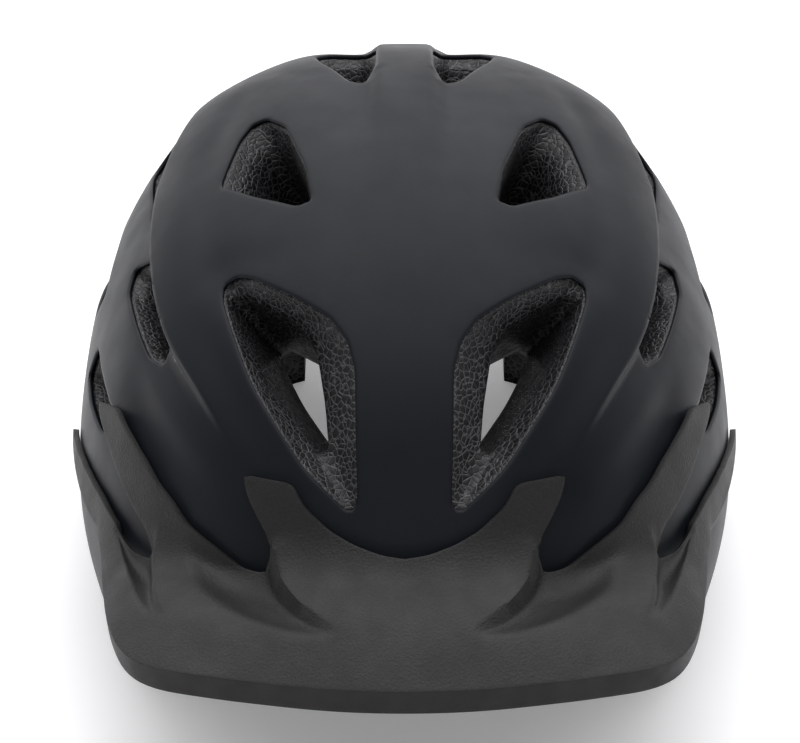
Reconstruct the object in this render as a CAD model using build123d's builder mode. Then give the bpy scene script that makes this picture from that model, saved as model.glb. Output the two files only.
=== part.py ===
from build123d import *
from math import cos, pi, radians, sin, sqrt, tan
import os

os.makedirs("parts", exist_ok=True)

# Driving dimensions in millimetres, drawn about the middle of the shell
SHELL_WIDTH = 204
FRONT_REACH = 138
REAR_REACH = 142
WIDEST_Z = 35
DOME_RISE = 118
PLAN_POWER = 2.4
SIDE_POWER = 2.15
SKIN = 1.5
CAVITY_WIDTH = 156
CAVITY_REACH = 104
CAVITY_Z = 30
CAVITY_RISE = 90
PAD_THICK = 7
SHIFT_Y = 16.5
WRAP_HEIGHT = 7
GAP = 0.6
VISOR_THICK = 1.8
WRAP_CLEAR = 0.5
VISOR_PIN = (-32, 57)
PIN_RADIUS = 3
RUNNING_FIT = 0.05
DIAL_Z = 22
MODULE = 0.8
TEETH = 10
PRESSURE = radians(25)
ADDENDUM = 0.7 * MODULE
DEDENDUM = 0.95 * MODULE
BACKLASH = 0.12
WEBBING = 18
WEBBING_THICK = 1.5

SIDES = (("left", -1), ("right", 1))


def save(builder, name):
    """Move a finished piece into the shared frame and write it."""
    piece = Pos(0, SHIFT_Y, 0) * builder.part
    piece.label = name
    export_step(piece, "parts/" + name + ".step")


def superellipse(half_x, front, rear, count=32):
    """Points round a rounded oval, finer steps where it turns."""
    points = []
    for step in range(count):
        angle = 2 * pi * (step + 0.5) / count
        east, north = cos(angle), sin(angle)
        reach = rear if north > 0 else front
        x = half_x * abs(east) ** (2 / PLAN_POWER) * (1 if east > 0 else -1)
        y = reach * abs(north) ** (2 / PLAN_POWER) * (1 if north > 0 else -1)
        points.append((x, y))
    return points


def dome(half_x, front, rear, middle_z, rise):
    """A helmet-shaped dome as a loft through level sections."""
    with BuildPart() as body:
        for tilt in (4, 9, 15, 22, 30, 39, 49, 60, 71, 81, 90, 99, 110):
            up = cos(radians(tilt))
            level = middle_z + rise * abs(up) ** (2 / SIDE_POWER) * (1 if up > 0 else -1)
            share = sin(radians(tilt)) ** (2 / SIDE_POWER)
            with BuildSketch(Plane.XY.offset(level)):
                with BuildLine():
                    Spline(superellipse(half_x * share, front * share, rear * share), periodic=True)
                make_face()
        loft()
    return body.part


def skin_dome(grow):
    return dome(
        SHELL_WIDTH / 2 + grow,
        FRONT_REACH + grow,
        REAR_REACH + grow,
        WIDEST_Z,
        DOME_RISE + grow,
    )


def cavity_dome(shrink):
    return dome(
        CAVITY_WIDTH / 2 - shrink,
        CAVITY_REACH - shrink,
        CAVITY_REACH - shrink,
        CAVITY_Z,
        CAVITY_RISE - shrink,
    )


outer = skin_dome(0)
inner = skin_dome(-SKIN)
cavity = cavity_dome(0)
cavity_lining = cavity_dome(PAD_THICK)

# Bottom edge seen from the side, as (y, z)
RIM = (
    (-150, 47),
    (-118, 42),
    (-92, 26),
    (-72, 8),
    (-60, 0),
    (-38, 0),
    (-22, 10),
    (0, 20),
    (20, 20),
    (42, 12),
    (60, 2),
    (68, 0),
    (150, 0),
)


def below_rim(lift):
    """Everything under the bottom edge, lifted by the given height."""
    with BuildPart() as region:
        with BuildSketch(Plane.YZ):
            with BuildLine():
                edge = [(y, z + lift) for y, z in RIM]
                Polyline([(-200, 47 + lift)] + edge + [(200, lift), (200, -80), (-200, -80)], close=True)
            make_face()
        extrude(amount=130, both=True)
    return region.part


def rear_arch(grow):
    """Opening in the back wall that leaves room for the knob."""
    with BuildPart() as region:
        with BuildSketch(Plane.XZ.offset(-85)):
            with Locations((0, 0)):
                SlotOverall(2 * (48 + grow), 2 * (34 + grow), rotation=90)
        extrude(amount=-90)
    return region.part


# Vents on the right side: centre on the shell, outward direction, outline round the centre
VENTS = {
    "front": (
        (34, -94, 120),
        (0.29, -0.59, 0.75),
        ((31, 17), (34, 23), (31, 26), (25, 26), (-7, 18), (-14, 13), (-19, 5), (-33, -32), (-32, -36), (-15, -27), (9, -7)),
    ),
    "upper": (
        (41, -14, 145),
        (0.4, -0.04, 0.92),
        ((17, -3), (11, 20), (7, 27), (2, 27), (-5, 17), (-12, -10), (-14, -28), (-9, -29), (4, -18)),
    ),
    "top": (
        (18, 57, 144),
        (0.13, 0.3, 0.95),
        ((0, -24), (9, -1), (11, 12), (6, 21), (-4, 20), (-9, 9), (-9, -16), (-5, -27)),
    ),
    "side": (
        (80, -39, 108),
        (0.82, -0.15, 0.55),
        ((33, -3), (21, 10), (-2, 8), (-27, 4), (-30, -1), (-20, -5), (0, -6), (23, -7)),
    ),
    "low_side": (
        (93, -44, 79),
        (0.94, -0.16, 0.29),
        ((24, 4), (26, -8), (8, -7), (-13, -4), (-25, 2), (-21, 5), (-1, 5)),
    ),
    "rear_side": (
        (78, 41, 111),
        (0.8, 0.15, 0.58),
        ((-26, 12), (-6, 13), (14, 5), (29, -9), (24, -15), (3, -8), (-16, -2), (-29, 1)),
    ),
    "low_rear": (
        (94, 46, 76),
        (0.95, 0.16, 0.27),
        ((-39, 11), (-15, 14), (11, 10), (31, -3), (30, -13), (16, -13), (-6, -8), (-34, -2)),
    ),
    "rear_upper": (
        (26, 106, 115),
        (0.21, 0.66, 0.72),
        ((3, 34), (-8, 25), (-13, 3), (-9, -17), (3, -27), (13, -19), (13, 3)),
    ),
    "rear_lower": (
        (31, 133, 72),
        (0.26, 0.91, 0.31),
        ((18, 14), (2, 11), (-14, 3), (-17, -6), (-4, -9), (18, -6)),
    ),
}
VENT_ABOVE = 8
VENT_BELOW = 48
VENT_TAPER = 0.6


def vent_plane(centre, outward):
    """Plane on the shell at a vent; the crown vents keep x sideways, the rest level."""
    out = Vector(*outward).normalized()
    if out.Z > 0.9:
        across = out.cross(Vector(1, 0, 0)).cross(out)
    else:
        across = Vector(0, 0, 1).cross(out)
    return Plane(origin=centre, x_dir=across.normalized(), z_dir=out)


# Tapered cutters, one pair for every vent
with BuildPart() as vent_cutters:
    for centre, outward, outline in VENTS.values():
        place = vent_plane(centre, outward)
        for lift, size in ((VENT_ABOVE, 1.06), (-VENT_BELOW, VENT_TAPER)):
            with BuildSketch(place.offset(lift)):
                with BuildLine():
                    Polyline([(x * size, y * size) for x, y in outline], close=True)
                make_face()
        loft(ruled=True)
    mirror(about=Plane.YZ)

# Outer shell
with BuildPart() as outer_shell:
    add(outer)
    add(inner, mode=Mode.SUBTRACT)
    add(below_rim(WRAP_HEIGHT), mode=Mode.SUBTRACT)
    add(vent_cutters.part, mode=Mode.SUBTRACT)
    add(rear_arch(WRAP_HEIGHT), mode=Mode.SUBTRACT)
    with Locations((0, VISOR_PIN[0], VISOR_PIN[1])):
        Cylinder(PIN_RADIUS + RUNNING_FIT, 230, rotation=(0, 90, 0), mode=Mode.SUBTRACT)

# Wrap that closes the foam below the shell's edge
with BuildPart() as rim_wrap:
    add(outer)
    add(inner, mode=Mode.SUBTRACT)
    with BuildPart(mode=Mode.PRIVATE) as band:
        add(below_rim(WRAP_HEIGHT))
        add(rear_arch(WRAP_HEIGHT))
        add(below_rim(WRAP_CLEAR), mode=Mode.SUBTRACT)
        add(rear_arch(0), mode=Mode.SUBTRACT)
    add(band.part, mode=Mode.INTERSECT)

# Pockets in the foam for the webbing anchors, the head ring and the visor pins
ANCHORS = (("front", 73, -47, 28, 0.15), ("rear", 69, 62, 26, -0.35))
ANCHOR_SIZE = (14, 22, 8)
SLOT_IN = 4.5
TEMPLE = (78, -40, 46)


def anchor_plane(x, y, z, lean):
    """Plane at a webbing anchor, turned to follow the wall."""
    return Plane(origin=(x, y, z), x_dir=(1, -lean, 0), z_dir=(0, 0, 1))


def slot_spot(place):
    """Middle of an anchor's slot seen from above, and the way the webbing's width runs."""
    for name, x, y, z, lean in ANCHORS:
        if name == place:
            run = SLOT_IN / sqrt(1 + lean * lean)
            return x - run, y + run * lean, (lean, 1, 0)


def other_side(piece):
    """The mirror image of a finished piece."""
    with BuildPart() as twin:
        add(piece.part)
        mirror(about=Plane.YZ, mode=Mode.REPLACE)
    return twin


with BuildPart() as pockets:
    for place, x, y, z, lean in ANCHORS:
        with Locations(anchor_plane(x, y, z, lean)):
            Box(ANCHOR_SIZE[0], ANCHOR_SIZE[1], ANCHOR_SIZE[2])
    mirror(about=Plane.YZ)
    with Locations((TEMPLE[0] - 2, TEMPLE[1], TEMPLE[2]), (-TEMPLE[0] + 2, TEMPLE[1], TEMPLE[2])):
        Box(12, 16, 16)
    with Locations((94, VISOR_PIN[0], VISOR_PIN[1]), (-94, VISOR_PIN[0], VISOR_PIN[1])):
        Cylinder(PIN_RADIUS + 1, 18, rotation=(0, 90, 0))

# Foam liner
with BuildPart() as foam_liner:
    add(inner)
    add(cavity, mode=Mode.SUBTRACT)
    add(below_rim(0), mode=Mode.SUBTRACT)
    add(vent_cutters.part, mode=Mode.SUBTRACT)
    add(rear_arch(0), mode=Mode.SUBTRACT)
    add(pockets.part, mode=Mode.SUBTRACT)


def lining(outline, plane, reach, both=False):
    """A comfort pad: the lining layer kept inside one outline."""
    with BuildPart() as pad:
        add(cavity)
        add(cavity_lining, mode=Mode.SUBTRACT)
        with BuildPart(mode=Mode.PRIVATE) as keep:
            with BuildSketch(plane):
                with BuildLine():
                    Polyline(outline, close=True)
                make_face()
                fillet(vertices(), radius=3)
            extrude(amount=reach, both=both)
        add(keep.part, mode=Mode.INTERSECT)
    return pad


# Comfort pads
brow_pad = lining(((-52, 48), (52, 48), (56, 62), (20, 68), (-20, 68), (-56, 62)), Plane.XZ.offset(40), 90)
crown_pad = lining(
    ((-14, -62), (14, -62), (14, -20), (34, -12), (34, 12), (14, 20), (14, 58), (-14, 58), (-14, 20), (-34, 12),
     (-34, -12), (-14, -20)),
    Plane.XY.offset(60),
    80,
)
side_pads = {}
for name, side in SIDES:
    side_pads[name] = lining(
        ((-34, 64), (30, 58), (44, 66), (40, 80), (-24, 86), (-38, 78)),
        Plane.YZ.offset(side * 30),
        side * 70,
    )

# Webbing anchors with a slot each
anchor_pieces = {}
for place, x, y, z, lean in ANCHORS:
    with BuildPart(anchor_plane(x, y, z, lean)) as anchor:
        Box(ANCHOR_SIZE[0], ANCHOR_SIZE[1], ANCHOR_SIZE[2])
        with Locations((-SLOT_IN, 0, 0)):
            Box(WEBBING_THICK, WEBBING, 30, mode=Mode.SUBTRACT)
    anchor_pieces["anchor_" + place + "_right"] = anchor
    anchor_pieces["anchor_" + place + "_left"] = other_side(anchor)

# Temple anchors that carry the head ring
temple_anchors = {}
for name, side in SIDES:
    with BuildPart(Plane((side * TEMPLE[0], TEMPLE[1], TEMPLE[2]))) as anchor:
        Box(8, 16, 16)
        with Locations((-side * 3, 0, 0)):
            Cylinder(2.5 + RUNNING_FIT, 10, rotation=(0, 90, 0), mode=Mode.SUBTRACT)
    temple_anchors[name] = anchor


def ribbon(stations, width, thick):
    """A strap: flat sections joined one after another. A station is (point, width way, travel way)."""
    with BuildPart() as strap:
        for point, wide, travel in stations:
            with BuildSketch(Plane(origin=point, x_dir=wide, z_dir=travel)):
                Rectangle(width, thick)
        loft(ruled=True)
    return strap


def flip(stations, side):
    """The same stations on the other side of the helmet."""
    if side > 0:
        return stations
    turned = []
    for point, wide, travel in stations:
        turned.append(
            ((-point[0], point[1], point[2]), (-wide[0], wide[1], wide[2]), (-travel[0], travel[1], travel[2]))
        )
    return turned


# Side straps from the anchors down to the dividers
slot_x, slot_y, wide = slot_spot("front")
FRONT_STRAP = [
    ((slot_x, slot_y, 33), wide, (0, 0, -1)),
    ((slot_x, slot_y, 23), wide, (0, 0, -1)),
    ((67, -45, 12), wide, (-0.3, 0, -1)),
    ((60, -37, 5), (0.5, 0.9, 0), (-1, 0.5, -0.4)),
    ((53, -22, 2.75), (0.8, 0.55, 0), (-0.55, 0.8, 0)),
    ((43, -6, 2.75), (0.8, 0.55, 0), (-0.55, 0.8, 0)),
]
slot_x, slot_y, wide = slot_spot("rear")
REAR_STRAP = [
    ((slot_x, slot_y, 31), wide, (0, 0, -1)),
    ((slot_x, slot_y, 21), wide, (0, 0, -1)),
    ((63, 59, 12), wide, (-0.3, 0, -1)),
    ((58, 52, 5), (-0.6, 0.8, 0), (-1, -0.6, -0.4)),
    ((51, 44, 2.75), (-0.8, 0.6, 0), (-0.6, -0.8, 0)),
    ((43, 33, 2.75), (-0.8, 0.6, 0), (-0.6, -0.8, 0)),
]
CHIN_STRAP = [
    ((30, -4, 2.75), (1, 0, 0), (0, -1, 0)),
    ((30, -16, 6), (0.8, 0, 0.6), (0, -1, 0)),
    ((30, -30, 11), (0, 0, 1), (0, -1, 0)),
    ((30, -60, 11), (0, 0, 1), (0, -1, 0)),
    ((28, -76, 11), (0, 0, 1), (-0.35, -1, 0)),
    ((24, -87, 11), (0, 0, 1), (-1, -1, 0)),
    ((19, -92, 11), (0, 0, 1), (-1, -0.35, 0)),
]
front_straps = {}
rear_straps = {}
chin_straps = {}
for name, side in SIDES:
    front_straps[name] = ribbon(flip(FRONT_STRAP, side), WEBBING, WEBBING_THICK)
    rear_straps[name] = ribbon(flip(REAR_STRAP, side), WEBBING, WEBBING_THICK)
    chin_straps[name] = ribbon(flip(CHIN_STRAP, side), WEBBING, WEBBING_THICK)

# Strap dividers: a plate with a lever that clamps the webbing
DIVIDER = (34, 14)
dividers = {}
levers = {}
lever_pins = {}
for name, side in SIDES:
    with BuildPart(Plane((side * DIVIDER[0], DIVIDER[1], 0))) as plate:
        with BuildSketch(Plane((side * DIVIDER[0], DIVIDER[1], 0))):
            with BuildLine():
                Polyline((-9, -19), (9, -19), (16, -6), (16, 8), (9, 20), (-7, 20), (-10, 8), close=True)
            make_face()
            fillet(vertices(), radius=3)
            with Locations((0, 12)):
                SlotOverall(12, 3, mode=Mode.SUBTRACT)
        extrude(amount=2)
        for y in (-9.5, 9.5):
            with Locations((0, y, 3.5)):
                Box(6, 2, 3)
            with Locations((0, y, 3.7)):
                Cylinder(1, 4, rotation=(90, 0, 0), mode=Mode.SUBTRACT)
    dividers[name] = plate
    with BuildPart(Plane((side * DIVIDER[0], DIVIDER[1], 3.7))) as lever:
        Cylinder(1.4, 16, rotation=(90, 0, 0))
        with Locations((side * 7, 0, 0)):
            Box(14, 16, 1.6)
        Cylinder(1 + RUNNING_FIT, 24, rotation=(90, 0, 0), mode=Mode.SUBTRACT)
    levers[name] = lever
    with BuildPart(Plane((side * DIVIDER[0], DIVIDER[1], 3.7))) as pin:
        Cylinder(1, 21, rotation=(90, 0, 0))
    lever_pins[name] = pin

# Side-release buckle lying on edge in front, opening along x
BUCKLE = (0, -95, 12.5)
with BuildPart(Plane(BUCKLE)) as buckle_female:
    with Locations((-9, 0, 0)):
        Box(18, 9, 22)
    fillet(edges().filter_by(Axis.X), radius=2)
    with Locations((-6, 0, 0)):
        Box(12, 5, 18, mode=Mode.SUBTRACT)
    for z in (-10, 10):
        with Locations((-5, 0, z)):
            Box(10, 5, 6, mode=Mode.SUBTRACT)
    with Locations((-21, 0, 0)):
        Box(6, 3, 22)
    with Locations((-21, 0, 0)):
        Box(3, 8, 18.5, mode=Mode.SUBTRACT)

with BuildPart(Plane(BUCKLE)) as buckle_male:
    with Locations((3.5, 0, 0)):
        Box(6, 9, 21)
    fillet(edges().filter_by(Axis.X), radius=2)
    with Locations((9, 0, 0)):
        Box(6, 3, 22)
    with Locations((9, 0, 0)):
        Box(3, 8, 18.5, mode=Mode.SUBTRACT)
    with Locations((-4, 0, 0)):
        Box(9, 3.6, 4)
    for way in (-1, 1):
        prong_plane = Plane(origin=(0, BUCKLE[1] + 1.8, BUCKLE[2]), x_dir=(1, 0, 0), z_dir=(0, -1, 0))
        with BuildSketch(prong_plane):
            with BuildLine():
                Polyline(
                    (0.5, way * 5), (-9, way * 4.5), (-10.5, way * 6.5), (-7, way * 8.6), (-4, way * 8.6),
                    (-4, way * 7), (0.5, way * 7.4), close=True
                )
            make_face()
        extrude(amount=3.6)

# Visor: pieces that hug the shell, with a projecting brim
WING = ((-112, 53), (-60, 51), (-28, 51), (-24, 55), (-28, 60), (-40, 65), (-66, 61), (-100, 61), (-112, 68))
MIDDLE_FINGER = ((-124, 74), (-113, 75), (-88, 83), (-64, 91), (-54, 82), (-70, 77), (-85, 69), (-99, 62), (-116, 60))
INNER_FINGER = ((14, 72), (16, 83), (24, 88), (32, 97), (47, 97), (45, 86), (40, 74), (40, 68))
BASE_BAND = ((-1, 69), (-1, 80), (14, 83), (39, 77), (60, 71), (80, 65), (80, 57), (60, 61), (39, 66))
# Brim stations: inner point (x, y), direction from straight ahead, heights, reach and lip
BRIM = (
    ((0, -131.2), 0, 79, (20, 75), (43.5, 64.5), 8.5),
    ((15, -130.2), 7, 82, (20, 77), (44, 64.5), 8.5),
    ((27, -128.8), 14, 79, (20, 75), (44, 64.5), 8.5),
    ((39, -126.6), 22, 76, (20, 71), (43, 63), 8.5),
    ((50, -122), 32, 73, (18, 68), (39, 61), 8),
    ((60, -116.8), 42, 69, (15, 64), (31, 58), 6),
    ((70, -108.8), 50, 65, (10, 61), (20, 56), 4),
    ((78, -100), 58, 62, (6, 58), (11, 55), 3),
)
with BuildPart() as hug_layer:
    add(skin_dome(GAP + VISOR_THICK))
    add(skin_dome(GAP), mode=Mode.SUBTRACT)
with BuildPart() as visor:
    for (x, y), turn, height, middle, edge, lip in BRIM:
        way = (sin(radians(turn)), -cos(radians(turn)), 0)
        with BuildSketch(Plane(origin=(x, y, 0), x_dir=way, z_dir=(way[1], -way[0], 0))):
            with BuildLine():
                Polyline(
                    (0, height), middle, edge, (edge[0], edge[1] - lip), (edge[0] - 2, edge[1] - lip),
                    (edge[0] - 2, edge[1] - 2.2), (middle[0], middle[1] - 2.2), (0, height - 2.2), close=True
                )
            make_face()
    loft(ruled=True)
    mirror(about=Plane.YZ)
    with BuildPart(mode=Mode.PRIVATE) as hugging:
        with BuildSketch(Plane.YZ):
            for outline in (WING, MIDDLE_FINGER):
                with BuildLine():
                    Polyline(outline, close=True)
                make_face()
        extrude(amount=130, both=True)
        with BuildSketch(Plane.XZ.offset(60)):
            for outline in (INNER_FINGER, BASE_BAND):
                with BuildLine():
                    Polyline(outline, close=True)
                make_face()
            mirror(about=Plane.YZ)
        extrude(amount=90)
        add(hug_layer.part, mode=Mode.INTERSECT)
    add(hugging.part)
    with Locations((0, VISOR_PIN[0], VISOR_PIN[1])):
        Cylinder(PIN_RADIUS, 230, rotation=(0, 90, 0), mode=Mode.SUBTRACT)

visor_pins = {}
for name, side in SIDES:
    with BuildPart(Plane((side * 95.5, VISOR_PIN[0], VISOR_PIN[1]))) as pin:
        Cylinder(PIN_RADIUS, 13, rotation=(0, 90, 0))
        chamfer(edges().filter_by(GeomType.CIRCLE), length=0.6)
    visor_pins[name] = pin

# Head ring: arms on temple pins, flexible bands, then racks in the rear cradle
ARM = [
    ((69, -46, 46), (0, 0, 1), (0.15, 1, 0)),
    ((70.5, -33, 45), (0, 0, 1), (0.1, 1, 0)),
    ((71.5, -16, 39), (0, 0, 1), (0, 1, 0)),
    ((71.5, 0, 35), (0, 0, 1), (0, 1, 0)),
    ((70, 20, 31), (0, 0, 1), (-0.15, 1, 0)),
    ((65.5, 40, 27), (0, 0, 1), (-0.35, 1, 0)),
]
BAND = [
    ((65.4, 40.3, 27), (0, 0, 1), (-0.35, 1, 0)),
    ((61, 51, 25), (0, 0, 1), (-0.5, 1, 0)),
    ((54.8, 62.2, 23.2), (0, 0, 1), (-0.7, 1, 0)),
]
arms = {}
bands = {}
for name, side in SIDES:
    arms[name] = ribbon(flip(ARM, side), 12, 2)
    with arms[name]:
        with Locations((side * 74.7, TEMPLE[1], TEMPLE[2])):
            Cylinder(2.5, 9.4, rotation=(0, 90, 0))
    bands[name] = ribbon(flip(BAND, side), 12, 2)

# Involute pinion on the knob's axis
PITCH_RADIUS = MODULE * TEETH / 2
BASE_RADIUS = PITCH_RADIUS * cos(PRESSURE)
TIP_RADIUS = PITCH_RADIUS + ADDENDUM
ROOT_RADIUS = PITCH_RADIUS - DEDENDUM
HALF_TOOTH = pi / (2 * TEETH) - BACKLASH / 4 / PITCH_RADIUS


def involute(angle):
    return tan(angle) - angle


def flank(radius):
    """Half the tooth's angle at a radius."""
    if radius <= BASE_RADIUS:
        return HALF_TOOTH + involute(PRESSURE)
    ratio = BASE_RADIUS / radius
    angle = sqrt(1 / ratio**2 - 1)
    return HALF_TOOTH + involute(PRESSURE) - (angle - (pi / 2 - atan(1 / angle)))


def atan(value):
    """Arc tangent of a positive value by its own series of half angles."""
    halvings = 0
    while value > 0.1:
        value = value / (1 + sqrt(1 + value * value))
        halvings += 1
    return (value - value**3 / 3 + value**5 / 5 - value**7 / 7) * 2**halvings


GEAR_FRONT = 88.5
GEAR_WIDTH = 3
with BuildPart() as pinion:
    with BuildSketch(Plane.XZ.offset(-GEAR_FRONT)):
        with Locations((0, DIAL_Z)):
            Circle(ROOT_RADIUS)
        for tooth in range(TEETH):
            middle = pi / 2 + tooth * 2 * pi / TEETH
            radii = (ROOT_RADIUS - 0.3, BASE_RADIUS, (BASE_RADIUS + PITCH_RADIUS) / 2 + 0.1, PITCH_RADIUS + 0.1, TIP_RADIUS)
            right = [(r * cos(middle - flank(r)), DIAL_Z + r * sin(middle - flank(r))) for r in radii]
            left = [(r * cos(middle + flank(r)), DIAL_Z + r * sin(middle + flank(r))) for r in reversed(radii)]
            with BuildLine():
                Polyline(right + left, close=True)
            make_face()
    extrude(amount=-GEAR_WIDTH)
    with Locations((0, GEAR_FRONT + GEAR_WIDTH + 3.5, DIAL_Z)):
        Cylinder(2.8, 7, rotation=(90, 0, 0))

racks = {}
RACK_PITCH = pi * MODULE
for name, side in SIDES:
    up = side
    line = DIAL_Z + up * PITCH_RADIUS
    top = line - up * ADDENDUM
    root = line + up * DEDENDUM
    back = line + up * 4
    half_top = (RACK_PITCH / 4 - BACKLASH / 4) - ADDENDUM * tan(PRESSURE)
    half_root = (RACK_PITCH / 4 - BACKLASH / 4) + DEDENDUM * tan(PRESSURE)
    with BuildPart() as rack:
        with BuildSketch(Plane.XZ.offset(-GEAR_FRONT - 0.3)):
            with BuildLine():
                Polyline((-side * 5, root), (side * 32, root), (side * 32, back), (-side * 5, back), close=True)
            make_face()
            for count in range(-2, 7):
                x = side * (count + 0.5) * RACK_PITCH
                with BuildLine():
                    Polyline(
                        (x - half_root, root + up * 0.2), (x - half_root, root), (x - half_top, top),
                        (x + half_top, top), (x + half_root, root), (x + half_root, root + up * 0.2), close=True
                    )
                make_face()
        extrude(amount=-(GEAR_WIDTH - 0.6))
        for point, wide, travel in flip([
            ((31.5, 90, DIAL_Z), (0, 0, 1), (-1, 0, 0)),
            ((38, 87.5, DIAL_Z), (0, 0, 1), (-1, 0.6, 0)),
            ((47, 76, DIAL_Z), (0, 0, 1), (-0.8, 1, 0)),
            ((54.6, 62.5, DIAL_Z + 1), (0, 0, 1), (-0.7, 1, 0)),
        ], side):
            with BuildSketch(Plane(origin=point, x_dir=wide, z_dir=travel)):
                Rectangle(12, 2)
        loft(ruled=True)
    racks[name] = rack

# Rear cradle: frame against the head, housing round the racks, cover behind them
HOUSE_HALF = 20
with BuildPart() as cradle_frame:
    with BuildSketch(Plane.XZ.offset(-84)):
        with BuildLine():
            Polyline((-20, 9), (20, 9), (24.5, 16), (21, 34), (10, 46), (-10, 46), (-21, 34), (-24.5, 16), close=True)
        make_face()
        fillet(vertices(), radius=4)
        with Locations((-12, 39), (12, 39)):
            SlotOverall(9, 4)
    extrude(amount=-2)
with BuildPart() as gear_housing:
    with BuildSketch(Plane.XZ.offset(-86)):
        with Locations((0, DIAL_Z)):
            RectangleRounded(2 * HOUSE_HALF, 24, 3)
    extrude(amount=-7.5)
    with BuildSketch(Plane.XZ.offset(-88)):
        with Locations((0, DIAL_Z)):
            Rectangle(2 * HOUSE_HALF + 2, 18)
    extrude(amount=-5.5, mode=Mode.SUBTRACT)
with BuildPart() as gear_cover:
    with BuildSketch(Plane.XZ.offset(-93.5)):
        with Locations((0, DIAL_Z)):
            RectangleRounded(2 * HOUSE_HALF, 24, 3)
            Circle(2.8 + RUNNING_FIT, mode=Mode.SUBTRACT)
    extrude(amount=-2)
cradle_pads = {}
for name, side in SIDES:
    with BuildPart() as pad:
        with BuildSketch(Plane.XZ.offset(-80)):
            with Locations((side * 12, 21)):
                RectangleRounded(16, 18, 4)
        extrude(amount=-4)
        chamfer(faces().sort_by(Axis.Y)[0].edges(), length=1)
    cradle_pads[name] = pad

# Knob with a rubber grip and its screw
with BuildPart() as dial_knob:
    with Locations((0, 102, DIAL_Z)):
        Cylinder(14, 11, rotation=(90, 0, 0))
        Cylinder(1.5, 30, rotation=(90, 0, 0), mode=Mode.SUBTRACT)
    with Locations((0, 105.5, DIAL_Z)):
        Cylinder(5, 4.1, rotation=(90, 0, 0), mode=Mode.SUBTRACT)
    with Locations((0, 97.5, DIAL_Z)):
        Cylinder(2.8, 2.01, rotation=(90, 0, 0), mode=Mode.SUBTRACT)
with BuildPart() as dial_grip:
    with BuildSketch(Plane.XZ.offset(-98)):
        with Locations((0, DIAL_Z)):
            Circle(16)
            Circle(14, mode=Mode.SUBTRACT)
            with PolarLocations(16.4, 20):
                Circle(0.9, mode=Mode.SUBTRACT)
    extrude(amount=-8)
with BuildPart() as dial_screw:
    with Locations((0, 104.4, DIAL_Z)):
        Cylinder(3.2, 1.8, rotation=(90, 0, 0))
        Box(4.4, 4, 0.8, mode=Mode.SUBTRACT)
    with Locations((0, 101, DIAL_Z)):
        Cylinder(1.5, 5, rotation=(90, 0, 0))

PIECES = {
    "outer_shell": outer_shell,
    "rim_wrap": rim_wrap,
    "foam_liner": foam_liner,
    "brow_pad": brow_pad,
    "crown_pad": crown_pad,
    "buckle_female": buckle_female,
    "buckle_male": buckle_male,
    "visor": visor,
    "pinion": pinion,
    "cradle_frame": cradle_frame,
    "gear_housing": gear_housing,
    "gear_cover": gear_cover,
    "dial_knob": dial_knob,
    "dial_grip": dial_grip,
    "dial_screw": dial_screw,
}
for name, piece in anchor_pieces.items():
    PIECES[name] = piece
PAIRS = {
    "side_pad": side_pads,
    "temple_anchor": temple_anchors,
    "strap_front": front_straps,
    "strap_rear": rear_straps,
    "chin_strap": chin_straps,
    "divider": dividers,
    "lever": levers,
    "lever_pin": lever_pins,
    "visor_pin": visor_pins,
    "arm": arms,
    "band": bands,
    "rack": racks,
    "cradle_pad": cradle_pads,
}
for kind, pair in PAIRS.items():
    for name, piece in pair.items():
        PIECES[kind + "_" + name] = piece
for name, piece in PIECES.items():
    save(piece, name)
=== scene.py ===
from math import atan2, cos, pi, radians, sin, tau

import bpy
import numpy as np
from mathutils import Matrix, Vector
from mathutils.geometry import delaunay_2d_cdt


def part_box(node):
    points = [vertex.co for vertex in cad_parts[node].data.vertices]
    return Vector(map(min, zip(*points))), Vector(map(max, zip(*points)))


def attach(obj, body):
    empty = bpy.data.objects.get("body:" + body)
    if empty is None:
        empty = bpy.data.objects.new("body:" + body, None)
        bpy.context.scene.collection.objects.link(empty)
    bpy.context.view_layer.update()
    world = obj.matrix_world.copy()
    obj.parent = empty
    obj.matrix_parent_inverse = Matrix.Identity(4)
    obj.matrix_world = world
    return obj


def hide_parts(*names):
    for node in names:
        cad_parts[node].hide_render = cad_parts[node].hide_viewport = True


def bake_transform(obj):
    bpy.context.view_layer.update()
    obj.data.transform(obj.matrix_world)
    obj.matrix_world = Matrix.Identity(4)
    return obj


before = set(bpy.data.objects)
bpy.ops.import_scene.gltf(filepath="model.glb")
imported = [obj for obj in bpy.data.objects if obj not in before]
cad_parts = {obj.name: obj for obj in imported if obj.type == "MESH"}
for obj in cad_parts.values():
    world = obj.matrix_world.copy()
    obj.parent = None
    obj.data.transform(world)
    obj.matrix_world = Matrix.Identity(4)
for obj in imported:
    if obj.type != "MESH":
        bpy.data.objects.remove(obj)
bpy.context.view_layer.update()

# Shapes are worked out in millimetres about the middle of the shell, then put in the frame.
MM = 0.001
shell_low, shell_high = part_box("outer_shell")
HALF_WIDTH = round((shell_high[0] - shell_low[0]) / 2 / MM)
REAR_REACH = 142.0
FRONT_REACH = 138.0
KNOB_Y = 102.0
knob_low, knob_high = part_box("dial_knob")
SHIFT_Y = (knob_low[1] + knob_high[1]) / 2 / MM - KNOB_Y
WIDEST_Z = 35.0
RISE = 118.0
PLAN_POWER = 2.4
SIDE_POWER = 2.15
SKIN = 1.5
SHELL_FORM = (HALF_WIDTH, FRONT_REACH, REAR_REACH, RISE, WIDEST_Z)
CAVITY_FORM = (78.0, 104.0, 104.0, 90.0, 30.0)
WRAP_HEIGHT = 7.0
FILM = 0.5
scene = bpy.context.scene

# ---------------------------------------------------------------- helpers


def place(points):
    """Millimetres about the shell's middle to metres in the frame."""
    points = np.asarray(points, float)
    return (points + np.array([0, SHIFT_Y, 0])) * MM


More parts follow.
